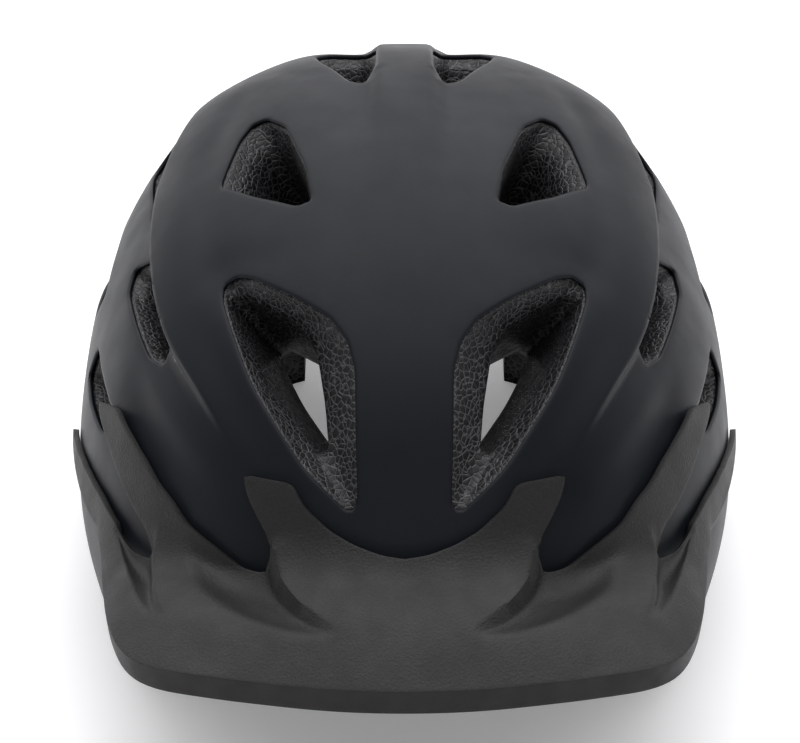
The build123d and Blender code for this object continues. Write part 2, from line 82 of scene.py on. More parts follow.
def add_object(name, data):
    thing = bpy.data.objects.new(name, data)
    scene.collection.objects.link(thing)
    return thing


def mesh_object(name, points, faces):
    """A new smooth-shaded object from points in millimetres."""
    mesh = bpy.data.meshes.new(name)
    mesh.from_pydata([tuple(p) for p in place(points)], [], [tuple(int(i) for i in f) for f in faces])
    mesh.validate()
    mesh.update()
    mesh.polygons.foreach_set("use_smooth", [True] * len(mesh.polygons))
    return add_object(name, mesh)


def tube_faces(rows, count, turned=False):
    """Four-sided faces between rows of count points, where each row is a closed ring."""
    faces = []
    for near in range(0, (rows - 1) * count, count):
        for i in range(count):
            j = (i + 1) % count
            face = [near + i, near + j, near + count + j, near + count + i]
            faces.append(face[::-1] if turned else face)
    return faces


def thicken(piece, thickness):
    """Give a surface its thickness in millimetres, inwards."""
    solid = piece.modifiers.new("thickness", "SOLIDIFY")
    solid.thickness = thickness * MM
    solid.offset = -1


def on_dome(directions, form, grow=0.0):
    """Where rays from the dome's centre meet it, grow millimetres farther out."""
    half_x, front, rear, rise, middle = form
    d = np.asarray(directions, float)
    d = d / np.linalg.norm(d, axis=1, keepdims=True)
    reach = np.where(d[:, 1] < 0, front, rear)
    plan = np.abs(d[:, 0] / half_x) ** PLAN_POWER + np.abs(d[:, 1] / reach) ** PLAN_POWER
    level = plan ** (SIDE_POWER / PLAN_POWER) + np.abs(d[:, 2] / rise) ** SIDE_POWER
    scale = level ** (-1 / SIDE_POWER) + np.asarray(grow)
    return d * np.reshape(scale, (-1, 1)) + np.array([0, 0, middle])


def ring_radius(turn, z, form, grow=0.0):
    """Distance from the upright axis to the dome at an azimuth (from straight ahead) and a height."""
    half_x, front, rear, rise, middle = form
    turn, z = np.asarray(turn, float), np.asarray(z, float)
    share = np.maximum(1 - np.abs((z - middle) / rise) ** SIDE_POWER, 0) ** (1 / SIDE_POWER)
    east, ahead = np.sin(turn), np.cos(turn)
    reach = np.where(ahead > 0, front, rear)
    plan = (np.abs(east / half_x) ** PLAN_POWER + np.abs(ahead / reach) ** PLAN_POWER) ** (1 / PLAN_POWER)
    return share / plan + grow


def to_chart(points, form):
    """A flat map of the dome seen from its centre: distance from the crown as an angle."""
    d = np.asarray(points, float) - np.array([0, 0, form[4]])
    d = d / np.linalg.norm(d, axis=1, keepdims=True)
    tilt = np.arccos(np.clip(d[:, 2], -1, 1))
    round_z = np.arctan2(d[:, 1], d[:, 0])
    return np.stack([tilt * np.cos(round_z), tilt * np.sin(round_z)], 1) * 100


def from_chart(chart):
    tilt = np.linalg.norm(chart, axis=1) / 100
    round_z = np.arctan2(chart[:, 1], chart[:, 0])
    return np.stack([np.sin(tilt) * np.cos(round_z), np.sin(tilt) * np.sin(round_z), np.cos(tilt)], 1)


def softened(points, cut=0.22, passes=3, closed=True):
    """Corners cut off a few times over, which leaves a smooth curve."""
    points = np.asarray(points, float)
    for _ in range(passes):
        after = np.roll(points, -1, 0) if closed else points[1:]
        before = points if closed else points[:-1]
        near = before * (1 - cut) + after * cut
        far = before * cut + after * (1 - cut)
        mixed = np.stack([near, far], 1).reshape(-1, points.shape[1])
        if not closed:
            mixed = np.vstack([points[:1], mixed[1:-1], points[-1:]])
        points = mixed
    return points


def evenly(points, count, closed=True):
    """The same curve with evenly spaced points."""
    points = np.asarray(points, float)
    if closed:
        points = np.vstack([points, points[:1]])
    steps = np.r_[0, np.cumsum(np.linalg.norm(np.diff(points, axis=0), axis=1))]
    at = np.linspace(0, steps[-1], count, endpoint=not closed)
    return np.stack([np.interp(at, steps, points[:, k]) for k in range(points.shape[1])], 1)


def length(points, closed=True):
    points = np.asarray(points, float)
    if closed:
        points = np.vstack([points, points[:1]])
    return float(np.linalg.norm(np.diff(points, axis=0), axis=1).sum())


def inside(points, outline):
    """Which points lie inside a closed outline."""
    x, y = points[:, 0], points[:, 1]
    result = np.zeros(len(points), bool)
    a, b = outline, np.roll(outline, -1, 0)
    for (x0, y0), (x1, y1) in zip(a, b):
        if y0 == y1:
            continue
        crosses = (y0 > y) != (y1 > y)
        result ^= crosses & (x < (x1 - x0) * (y - y0) / (y1 - y0) + x0)
    return result


def distance_to(points, line, closed=True):
    """Distance from each point to a line of points, and how far along it the nearest spot is."""
    line = np.asarray(line, float)
    a = line if closed else line[:-1]
    b = np.roll(line, -1, 0) if closed else line[1:]
    best = np.full(len(points), 1e9)
    along = np.zeros(len(points))
    side = np.zeros(len(points))
    travelled = 0.0
    for p, q in zip(a, b):
        way = q - p
        size = np.linalg.norm(way)
        if size < 1e-9:
            continue
        way = way / size
        rel = points - p
        t = np.clip(rel @ way, 0, size)
        gap = np.linalg.norm(rel - t[:, None] * way, axis=1)
        nearer = gap < best
        best = np.where(nearer, gap, best)
        along = np.where(nearer, travelled + t, along)
        turn = way[0] * rel[:, 1] - way[1] * rel[:, 0]
        side = np.where(nearer, np.sign(turn), side)
        travelled += size
    return best, along, side


FAR = 99.0


def gap_near(points, line, margin=3):
    """Distance to a closed line from the points near it, and FAR from the others."""
    gap = np.full(len(points), FAR)
    near = ((points > line.min(0) - margin) & (points < line.max(0) + margin)).all(1)
    if near.any():
        gap[near], _, _ = distance_to(points[near], line)
    return gap


def folded(points):
    """Both sides laid on the +X side."""
    return np.stack([np.abs(points[:, 0]), points[:, 1]], 1)


def ease(low, high, x):
    """A smooth step from 0 at low to 1 at high."""
    t = np.clip((x - low) / (high - low), 0, 1)
    return t * t * (3 - 2 * t)


def triangulate(loops, extra, keep_out, border):
    """Triangles over a flat region with holes. Loops keep their points, extra points fill the rest."""
    points = np.vstack(loops + [extra])
    edges, start = [], 0
    for loop in loops:
        count = len(loop)
        edges += [(start + i, start + (i + 1) % count) for i in range(count)]
        start += count
    flat, _, faces, origin, _, _ = delaunay_2d_cdt([Vector(p) for p in points], edges, [], 0, 1e-6)
    flat = np.array([tuple(p) for p in flat])
    faces = np.array([f for f in faces if len(f) == 3])
    middles = flat[faces].mean(1)
    keep = inside(middles, border)
    for hole in keep_out:
        keep &= ~inside(middles, hole)
    faces = faces[keep]
    a, b, c = (flat[faces[:, k]] for k in range(3))
    flipped = (b[:, 0] - a[:, 0]) * (c[:, 1] - a[:, 1]) < (b[:, 1] - a[:, 1]) * (c[:, 0] - a[:, 0])
    faces[flipped] = faces[flipped][:, ::-1]
    where = {}
    for new, olds in enumerate(origin):
        for old in olds:
            where[old] = new
    order, start = [], 0
    for loop in loops:
        order.append([where[start + i] for i in range(len(loop))])
        start += len(loop)
    return flat, faces, order


def hex_grid(low, high, step):
    """Points on a triangular grid over a rectangle."""
    rows = []
    tall = step * 0.866
    for row, y in enumerate(np.arange(low[1], high[1], tall)):
        xs = np.arange(low[0] + (row % 2) * step / 2, high[0], step)
        rows.append(np.stack([xs, np.full_like(xs, y)], 1))
    return np.vstack(rows)


def inside_grid(border, holes, step):
    """Grid points inside a border and outside its holes."""
    reach = np.abs(border).max() + 1
    grid = hex_grid((-reach, -reach), (reach, reach), step)
    keep = inside(grid, border)
    for hole in holes:
        keep &= ~inside(grid, hole)
    return grid[keep]


# ---------------------------------------------------------------- rim and vents

# Bottom edge seen from the side, as (y, z), as the CAD has it
RIM = softened(
    [(-150, 47), (-118, 42), (-92, 26), (-72, 8), (-60, 0), (-38, 0), (-22, 10), (0, 20), (20, 20), (42, 12),
     (60, 2), (68, 0), (150, 0)],
    closed=False,
)
ARCH_HALF = 34.0
ARCH_TOP = 48.0


def rear_y(x, z, form):
    """How far back the dome reaches at a distance from the middle plane and a height."""
    share = (1 - abs((z - form[4]) / form[3]) ** SIDE_POWER) ** (1 / SIDE_POWER)
    return form[2] * (share**PLAN_POWER - abs(x / form[0]) ** PLAN_POWER) ** (1 / PLAN_POWER)


def rim_loop(form, lift, half=150, arch=26):
    """The bottom edge as points on a dome: round the sides, then over the rear arch."""
    arch_half = ARCH_HALF + lift
    points = []
    corner = pi - atan2(arch_half, rear_y(arch_half, lift, form))
    for turn in np.linspace(0, corner, half):
        # Halve the range until the dome's point and the edge's height agree
        low, high = -8.0, 80.0
        for _ in range(30):
            z = (low + high) / 2
            y = -ring_radius(turn, z, form) * cos(turn)
            if z < np.interp(y, RIM[:, 0], RIM[:, 1]) + lift:
                low = z
            else:
                high = z
        r = float(ring_radius(turn, z, form))
        points.append((r * sin(turn), -r * cos(turn), z))
    arch_foot = ARCH_TOP - ARCH_HALF
    outline = [(arch_half, z) for z in np.linspace(lift, arch_foot, 8)[1:]]
    outline += [(arch_half * cos(t), arch_foot + arch_half * sin(t)) for t in np.linspace(0, pi / 2, arch)[1:]]
    right = np.array(points + [(x, rear_y(x, z, form), z) for x, z in outline])
    left = right[1:-1][::-1] * [-1, 1, 1]
    return np.vstack([right, left])


# Vents on the +X side: centre, outward direction, outline, the throat below the sloped band of foam
# (its own outline, or a share of the first), how deep the throat lies, and the opening's share at the cavity
VENTS = {
    "front": (
        (34, -94, 120), (0.29, -0.59, 0.75),
        ((31, 17), (33.5, 22), (30, 25.2), (24, 25.4), (4, 21.5), (-7, 18.3), (-14.5, 13), (-20, 5), (-34, -33),
         (-34, -37), (-31.5, -37.5), (-15, -27.5), (9, -7)),
        ((26, 15), (22, 17), (3, 13), (-4, 8), (-8, 1), (-13, -8), (-19, -21), (-16, -22), (-8, -16), (5, -6),
         (18, 6)),
        9.0, 0.75,
    ),
    "upper": (
        (41, -14, 145), (0.4, -0.04, 0.92),
        ((17, -3), (11, 20), (7, 27), (2, 27), (-5, 17), (-12, -10), (-14, -28), (-9, -29), (4, -18)),
        0.70, 8.0, 0.9,
    ),
    "top": (
        (18, 57, 144), (0.13, 0.3, 0.95),
        ((0, -24), (9, -1), (11, 12), (6, 21), (-4, 20), (-9, 9), (-9, -16), (-5, -27)),
        0.72, 7.0, 0.9,
    ),
    "side": (
        (80, -39, 108), (0.82, -0.15, 0.55),
        ((33, -3), (21, 10), (-2, 8), (-27, 4), (-30, -1), (-20, -5), (0, -6), (23, -7)),
        0.78, 8.0, 0.9,
    ),
    "low_side": (
        (93, -44, 79), (0.94, -0.16, 0.29),
        ((24, 4), (26, -8), (8, -7), (-13, -4), (-25, 2), (-21, 5), (-1, 5)),
        0.78, 6.0, 0.9,
    ),
    "rear_side": (
        (78, 41, 111), (0.8, 0.15, 0.58),
        ((-26, 12), (-6, 13), (14, 5), (29, -9), (24, -15), (3, -8), (-16, -2), (-29, 1)),
        0.76, 7.0, 0.9,
    ),
    "low_rear": (
        (94, 46, 76), (0.95, 0.16, 0.27),
        ((-39, 11), (-15, 14), (11, 10), (31, -3), (30, -13), (16, -13), (-6, -8), (-34, -2)),
        0.78, 7.0, 0.9,
    ),
    "rear_upper": (
        (26, 106, 115), (0.21, 0.66, 0.72),
        ((3, 34), (-8, 25), (-13, 3), (-9, -17), (3, -27), (13, -19), (13, 3)),
        0.72, 8.0, 0.9,
    ),
    "rear_lower": (
        (31, 133, 72), (0.26, 0.91, 0.31),
        ((18, 14), (2, 11), (-14, 3), (-17, -6), (-4, -9), (18, -6)),
        0.72, 7.0, 0.9,
    ),
}
VENT_DEPTH = 28.0
VENT_STEP = 1.7
# How far across and up a front vent's throat shifts for each millimetre of depth, seen along the camera's view
THROAT_SHIFT = (0.30, 0.32)


def vent_axes(outward):
    """Across and up directions at a vent, as in the CAD."""
    out = np.array(outward) / np.linalg.norm(outward)
    if out[2] > 0.9:
        across = np.cross(np.cross(out, [1, 0, 0]), out)
    else:
        across = np.cross([0, 0, 1], out)
    across = across / np.linalg.norm(across)
    return across, np.cross(out, across), out


def matched(loop, count, start_way):
    """A loop resampled so that its first point lies in a given direction from its middle."""
    loop = evenly(loop, count * 4)
    middle = loop.mean(0)
    angle = np.arctan2(*(loop - middle).T[::-1]) - atan2(start_way[1], start_way[0])
    first = int(np.argmin(np.abs((angle + pi) % tau - pi)))
    return evenly(np.roll(loop, -first, 0), count)


def vent_loops():
    """For every vent on both sides: its edge on the chart, its throat in space, its opening in the cavity."""
    loops = []
    for centre, outward, outline, throat, depth, size in VENTS.values():
        across, up, out = vent_axes(outward)
        edge = softened(outline, cut=0.09, passes=3)
        edge = evenly(edge, int(round(length(edge) / VENT_STEP)))
        if isinstance(throat, tuple):
            neck = softened(throat, cut=0.15, passes=3)
            neck = matched(neck, len(edge), edge[0] - edge.mean(0))
            neck = neck + np.array(THROAT_SHIFT) * depth
        else:
            neck = edge * throat
        rings = []
        for flat, below in ((edge, 0.0), (neck, depth + 2.0), (neck * size, VENT_DEPTH)):
            rings.append(np.array(centre) + flat[:, :1] * across + flat[:, 1:] * up - out * below)
        for side in (1, -1):
            top, middle, deep = (ring[::side] * [side, 1, 1] for ring in rings)
            loops.append((to_chart(top, SHELL_FORM), middle, to_chart(deep, CAVITY_FORM)))
    return loops


vents = vent_loops()

# Edge of the raised front and top layer on the +X side, from the back forwards, as (x, y)
HOOD_EDGE = (
    (40, 88), (48, 77), (63, 62), (72, 27), (75.5, 8), (76, -21), (74, -46), (69.5, -66), (59, -88), (46, -109),
)


def on_top(x, y):
    """The point of the shell above a plan position."""
    reach = FRONT_REACH if y < 0 else REAR_REACH
    plan = (abs(x / HALF_WIDTH) ** PLAN_POWER + abs(y / reach) ** PLAN_POWER) ** (SIDE_POWER / PLAN_POWER)
    return (x, y, WIDEST_Z + RISE * max(1 - plan, 0) ** (1 / SIDE_POWER))


def chart_line(plan_points):
    """A smooth line on the chart through plan positions."""
    line = to_chart([on_top(x, y) for x, y in plan_points], SHELL_FORM)
    line = softened(line, passes=3, closed=False)
    return evenly(line, int(length(line, False) / 1.8), closed=False)


hood_line = chart_line(HOOD_EDGE)
hood_length = length(hood_line, False)
# A crease outside each front vent, and one lower down towards the visor
VENT_CREASE = chart_line(((60, -50), (58, -68), (48, -92), (36, -109), (24, -121)))
LOW_CREASE = chart_line(((84, -50), (76, -78), (64, -98), (50, -113)))


def relief(chart):
    """How far the painted shell lies from the plain dome in millimetres, negative inwards."""
    mirrored = folded(chart)
    gap, along, side = distance_to(mirrored, hood_line, closed=False)
    outboard = gap * np.where(side > 0, 1, -1)
    share = ease(20, 62, along) * (1 - ease(hood_length * 0.72, hood_length, along))
    drop = -4.6 * share * ease(0.2, 2.4, outboard) * np.exp(-((np.maximum(outboard, 0) / 24) ** 2))
    # The hood's own edge is a broad rounded roll, highest towards the top, with a soft valley inside it
    inboard = np.maximum(-outboard, 0)
    top_share = ease(4, 40, along) * (1 - ease(hood_length * 0.45, hood_length * 0.85, along))
    drop += 2.3 * top_share * np.exp(-((inboard / 22) ** 2)) * ease(-4.0, 0.2, -outboard + 0.2)
    drop -= 0.8 * share * np.exp(-(((inboard - 19) / 5) ** 2))
    # Rib along the crown with a shallow valley on each side of it
    x, y = mirrored[:, 0], mirrored[:, 1]
    crown = ease(-45, 25, y) * (1 - ease(95, 120, y))
    drop -= 3.0 * crown * ease(6.0, 11.0, x) * np.exp(-((np.maximum(x - 11, 0) / 11) ** 2))
    # The shell scoops down towards the upper edge of each front vent
    gap = gap_near(mirrored, vents[0][0], 22)
    drop -= 1.7 * np.exp(-((gap / 8.0) ** 2)) * ease(-58, -40, y) * ease(12, 30, x)
    # The shell tucks in towards its lower edge beside and ahead of the temples
    from_crown = np.linalg.norm(chart, axis=1)
    ahead = 1 - ease(-25, 20, y / np.maximum(from_crown, 1) * 100)
    drop -= 3.6 * ease(-0.05, 0.30, -np.cos(from_crown / 100)) * ahead
    for crease, depth, reach in ((VENT_CREASE, 1.0, 8.0), (LOW_CREASE, 1.3, 9.0)):
        gap, along, side = distance_to(mirrored, crease, closed=False)
        total = length(crease, False)
        fade = ease(0, 30, along) * (1 - ease(total - 30, total, along))
        fold = gap * np.where(side > 0, 1, -1)
        drop -= depth * fade * ease(-5, 4, fold) * np.exp(-((np.maximum(fold, 0) / reach) ** 2))
    return drop


def edge_roll(chart, rolled=1.3, depth=0.4):
    """How far the paint rolls down towards each vent's edge."""
    gap = np.min([gap_near(chart, edge) for edge, _, _ in vents], axis=0)
    return -depth * (1 - np.clip(gap / rolled, 0, 1)) ** 2


def offset_loop(loop, amount):
    """A closed loop moved outwards by an amount all round."""
    way = np.roll(loop, -1, 0) - np.roll(loop, 1, 0)
    way = way / np.linalg.norm(way, axis=1, keepdims=True)
    normal = np.stack([way[:, 1], -way[:, 0]], 1)
    area = 0.5 * np.sum(loop[:, 0] * np.roll(loop[:, 1], -1) - np.roll(loop[:, 0], -1) * loop[:, 1])
    return loop + normal * amount * (1 if area > 0 else -1)


# ---------------------------------------------------------------- outer shell


SHELL_STEP = 2.3


def build_shell():
    """The painted shell, with finer rows along the hood's edge and round each vent."""
    border = to_chart(rim_loop(SHELL_FORM, WRAP_HEIGHT), SHELL_FORM)
    holes = [edge for edge, _, _ in vents]
    near_bands, far_bands = ([offset_loop(edge, out) for edge in holes] for out in (0.65, 1.3))
    way = np.gradient(hood_line, axis=0)
    way = way / np.linalg.norm(way, axis=1, keepdims=True)
    across = np.stack([-way[:, 1], way[:, 0]], 1)
    hoods = [(hood_line + across * out) * [sign, 1] for sign in (1, -1) for out in (-0.8, 0.2, 0.95, 1.7, 2.5)]
    grid = inside_grid(border, holes, SHELL_STEP)
    for line in holes + far_bands + [border]:
        grid = grid[gap_near(grid, line) > 1.1]
    for line in hoods:
        gap, _, _ = distance_to(grid, line, closed=False)
        grid = grid[gap > 0.9]
    extra = [grid]
    for line in near_bands + far_bands + hoods:
        line = line[inside(line, border)]
        for hole in holes:
            line = line[~inside(line, hole) & (gap_near(line, hole) > 0.5)]
        extra.append(line)
    flat, faces, _ = triangulate([border] + holes, np.vstack(extra), holes, border)
    points = on_dome(from_chart(flat), SHELL_FORM, relief(flat) + edge_roll(flat))
    shell = mesh_object("painted_shell", points, faces)
    thicken(shell, SKIN)
    return shell


# ---------------------------------------------------------------- foam liner


# A vent's wall has WALL_ROWS rows, and this share of them makes the sloped band above the throat
BAND_SHARE = 0.5
WALL_ROWS = 18


def build_liner():
    """A closed foam body: hidden face under the shell, vent walls, cavity and bottom edge."""
    under = SKIN + 0.15

    def filled(border, holes, step):
        grid = inside_grid(border, holes, step)
        for line in holes + [border]:
            grid = grid[gap_near(grid, line) > step * 0.5]
        return triangulate([border] + holes, grid, holes, border)

    outer_border = to_chart(rim_loop(SHELL_FORM, 0.0), SHELL_FORM)
    inner_border = to_chart(rim_loop(CAVITY_FORM, 0.0), CAVITY_FORM)
    outer_holes = [edge for edge, _, _ in vents]
    inner_holes = [edge for _, _, edge in vents]
    flat_out, faces_out, order_out = filled(outer_border, outer_holes, 6.0)
    flat_in, faces_in, order_in = filled(inner_border, inner_holes, 3.6)
    top = on_dome(from_chart(flat_out), SHELL_FORM, relief(flat_out) - under)
    cavity = on_dome(from_chart(flat_in), CAVITY_FORM)
    points = [top, cavity]
    faces = [faces_out, faces_in[:, ::-1] + len(top)]
    count = len(top) + len(cavity)
    for index in range(len(order_out)):
        first = np.array(order_out[index])
        last = np.array(order_in[index]) + len(top)
        start, end = top[order_out[index]], cavity[order_in[index]]
        rows = [first]
        for ring in range(1, WALL_ROWS):
            t = ring / WALL_ROWS
            if index == 0:
                line = start * (1 - t) + end * t + np.array([0, 0, 0.8 * sin(pi * t)])
            else:
                # A sloped band from the edge to the throat, a rounded lip, then the wall down to the cavity
                throat = vents[index - 1][1]
                slope = min(t / BAND_SHARE, 1.0)
                fall = max(t - BAND_SHARE, 0) / (1 - BAND_SHARE)
                line = start * (1 - slope) + throat * slope if fall == 0 else throat * (1 - fall) + end * fall
                line = line + (line - line.mean(0)) * 0.05 * np.exp(-(((t - BAND_SHARE) / 0.09) ** 2))
            rows.append(np.arange(count, count + len(line)))
            points.append(line)
            count += len(line)
        rows.append(last)
        for near, far in zip(rows[:-1], rows[1:]):
            a, b = near, np.roll(near, -1)
            c, d = np.roll(far, -1), far
            faces += [np.stack([a, b, c], 1), np.stack([a, c, d], 1)]
    return mesh_object("foam_body", np.vstack(points), np.vstack(faces))


# ---------------------------------------------------------------- wrap under the shell


def tucked(loop, grow):
    """A loop on the plain dome moved to the painted shell's surface."""
    chart = to_chart(loop, SHELL_FORM)
    return on_dome(from_chart(chart), SHELL_FORM, relief(chart) + grow)


def build_wrap():
    """Band of smooth film from the shell's lower edge, under the foam's edge."""
    rows = []
    for lift, grow in ((7.0, -0.1), (6.4, -0.25), (4.0, -0.1), (2.0, -0.1), (0.8, -0.3), (0.1, -1.0)):
        rows.append(tucked(rim_loop(SHELL_FORM, lift), grow))
    inner = rim_loop(CAVITY_FORM, 0.0)
    outer = tucked(rim_loop(SHELL_FORM, 0.0), -0.4)
    for share, lift in ((0.08, 0.0), (0.16, 0.05), (0.2, 0.6)):
        rows.append(outer * (1 - share) + inner * share + np.array([0, 0, lift]))
    wrap = mesh_object("rim_film", np.vstack(rows), tube_faces(len(rows), len(rows[0]), turned=True))
    thicken(wrap, FILM)
    return wrap


# ---------------------------------------------------------------- visor

VISOR_GAP = 0.6
VISOR_THICK = 1.8
# The top surface of the part that hugs the shell lies this far off it
ON_SHELL = VISOR_GAP + VISOR_THICK
# The visor is drawn flat, as (azimuth times TURN_SCALE, row): the lip's rows lie below 0 and the brim's above
BRIM_ROWS = 44.0
LIP_ROWS = 10
TURN_SCALE = 2.1
# Line where the brim meets the part that hugs the shell: (degrees from ahead, height)
BASE_LINE = ((0, 79), (6, 80), (12, 78.5), (18, 75), (28, 69), (38, 62.5), (50, 61), (62, 62), (80, 59))
# Top of the brim's outer edge: (degrees, radius, height)
OUTER_EDGE = (
    (0, 174.5, 64.5), (13, 174.8, 64.5), (20, 176, 64.2), (24, 176, 62.8), (27.5, 172, 61), (31, 162.5, 59.2),
    (34, 154, 57.5), (37, 145, 56.2), (43.4, 129.8, 55), (52, 116.8, 54), (62.7, 106.6, 53), (74.7, 101.8, 52.5),
    (80, 100.5, 52),
)
LIP = ((0, 8.5), (22, 8.5), (28, 7.5), (35, 5), (45, 2.4), (60, 1.2), (80, 1.0))
# Outline of the right half above the brim, from the wing's tip to the centre notch: (degrees, height)
FINGERS = (
    (79, 53.8), (67, 59), (60, 62.3), (50.5, 64.2), (44, 63.2), (38, 64), (34.4, 66), (34.6, 68), (36.5, 70),
    (40.3, 72.6), (50.5, 79.8), (58.2, 82.3), (59, 84.5), (52.3, 89.4), (51, 89.4), (45.3, 88), (39.6, 86),
    (33.1, 81.6), (30, 78.2), (26.5, 76), (21.5, 76.3), (17.4, 76.8), (16.6, 80), (18.8, 86.0), (21, 91.5),
    (22.3, 96.3), (15.2, 97.0), (13.2, 91.8), (9.6, 86.4), (6.2, 82.4), (3.1, 79.8), (0, 79),
)
# Each opening runs on into the brim as a wedge that narrows to a point: its inboard side from the opening's
# corner to the point, as (degrees, share of the brim from its outer edge), its depth, and its width at the top
WEDGES = (
    (((16.9, 1.12), (16.0, 0.94), (13.4, 0.70), (10.6, 0.53), (7.0, 0.38)), 6.8, 22.0),
    (((34.4, 1.12), (33.4, 0.90), (31.0, 0.66), (28.6, 0.50), (26.0, 0.38)), 5.0, 18.0),
)
FILLET = 13.0
VISOR_STEP = 1.7


def smooth_table(table, degrees_at):
    """A table read with its corners eased."""
    table = np.array(table, float)
    dense = np.linspace(table[0, 0], table[-1, 0], 321)
    kernel = np.hanning(33)
    kernel /= kernel.sum()
    values = []
    for column in range(1, table.shape[1]):
        line = np.interp(dense, table[:, 0], table[:, column])
        line = np.convolve(np.r_[line[16:0:-1], line, line[-2:-18:-1]], kernel, "valid")
        values.append(np.interp(np.abs(degrees_at), dense, line))
    return values


def wedge_path(line):
    """The inboard side of a wedge, as (scaled azimuth, row)."""
    return softened([(turn * TURN_SCALE, share * BRIM_ROWS) for turn, share in line], passes=2, closed=False)


def visor_surface(flat):
    """The visor's top surface at (scaled azimuth, row): lip below 0, brim to BRIM_ROWS, then up the shell."""
    azimuth = flat[:, 0] / TURN_SCALE
    turn = np.radians(azimuth)
    row = flat[:, 1]
    (base_z,) = smooth_table(BASE_LINE, azimuth)
    outer_r, outer_z = smooth_table(OUTER_EDGE, azimuth)
    (lip,) = smooth_table(LIP, azimuth)
    base_r = ring_radius(turn, base_z, SHELL_FORM, ON_SHELL)
    outer_r = np.maximum(outer_r, ring_radius(turn, outer_z, SHELL_FORM, ON_SHELL))
    share = np.clip(row / BRIM_ROWS, 0, 1)
    across = outer_r - base_r
    size = np.abs(azimuth)
    wide = ease(2, 25, across)
    above = np.clip(row - BRIM_ROWS, 0, None)

    def profile(down, up):
        """Point of the brim at a share from its outer edge, or up the shell above the base line."""
        r = outer_r * (1 - down) + base_r * down
        z = outer_z * (1 - down) + base_z * down + 2.6 * wide * np.sin(pi * np.clip(down, 0, 1))
        z = np.where(up > 0, base_z + up, z)
        hug = ring_radius(turn, base_z + up, SHELL_FORM, ON_SHELL - 1.0 * ease(58, 74, size))
        return np.where(up > 0, hug, r), z

    r, z = profile(share, above)
    # The brim sweeps up into the fingers over a broad fillet
    slant = np.maximum(np.hypot(across, base_z - outer_z), 1.0)
    bend = np.minimum(FILLET, 0.8 * slant)
    along = above - (1 - share) * slant
    near = np.abs(along) < bend
    t = np.clip((along + bend) / (2 * bend), 0, 1)
    low_r, low_z = profile(1 - bend / slant, np.zeros_like(bend))
    high_r, high_z = profile(np.ones_like(bend), bend)
    for low, middle, high, value in ((low_r, base_r, high_r, r), (low_z, base_z, high_z, z)):
        curve = (1 - t) ** 2 * low + 2 * t * (1 - t) * middle + t**2 * high
        value[near] = curve[near]
    for line, depth, top_width in WEDGES:
        path = evenly(wedge_path(line), 30, closed=False)
        gap, travel, side = distance_to(folded(flat), path, closed=False)
        part = np.clip(travel / length(path, False), 0, 1)
        outboard = gap * np.where(side < 0, -1, 1)
        width = top_width * (1 - part) ** 0.9 + 2.0
        sunk = ease(-0.6, 0.8, outboard) * np.clip(1 - np.clip(outboard / width, 0, 1) ** 2.4, 0, 1)
        sunk = sunk * (1 - part**2.5) * (part < 0.999)
        raised = 1.3 * (1 - part) * np.exp(-((np.minimum(outboard, 0) / 5.0) ** 2)) * (outboard <= 0)
        z = z + (raised - depth * sunk) * ease(-1, 5, BRIM_ROWS + 7 - row)
    drop = np.clip(-row, 0, None) / LIP_ROWS * lip
    r = r - 0.16 * drop
    return np.stack([r * np.sin(turn), -r * np.cos(turn), z - drop], 1)


def relaxed(points, faces, free, passes=3, pull=0.45):
    """Free points drawn towards the mean of their neighbours."""
    pairs = np.vstack([faces[:, [0, 1]], faces[:, [1, 2]], faces[:, [2, 0]]])
    for _ in range(passes):
        total = np.zeros_like(points)
        number = np.zeros(len(points))
        for a, b in ((0, 1), (1, 0)):
            np.add.at(total, pairs[:, a], points[pairs[:, b]])
            np.add.at(number, pairs[:, a], 1)
        mean = total / np.maximum(number, 1)[:, None]
        points = np.where(free[:, None], points * (1 - pull) + mean * pull, points)
    return points


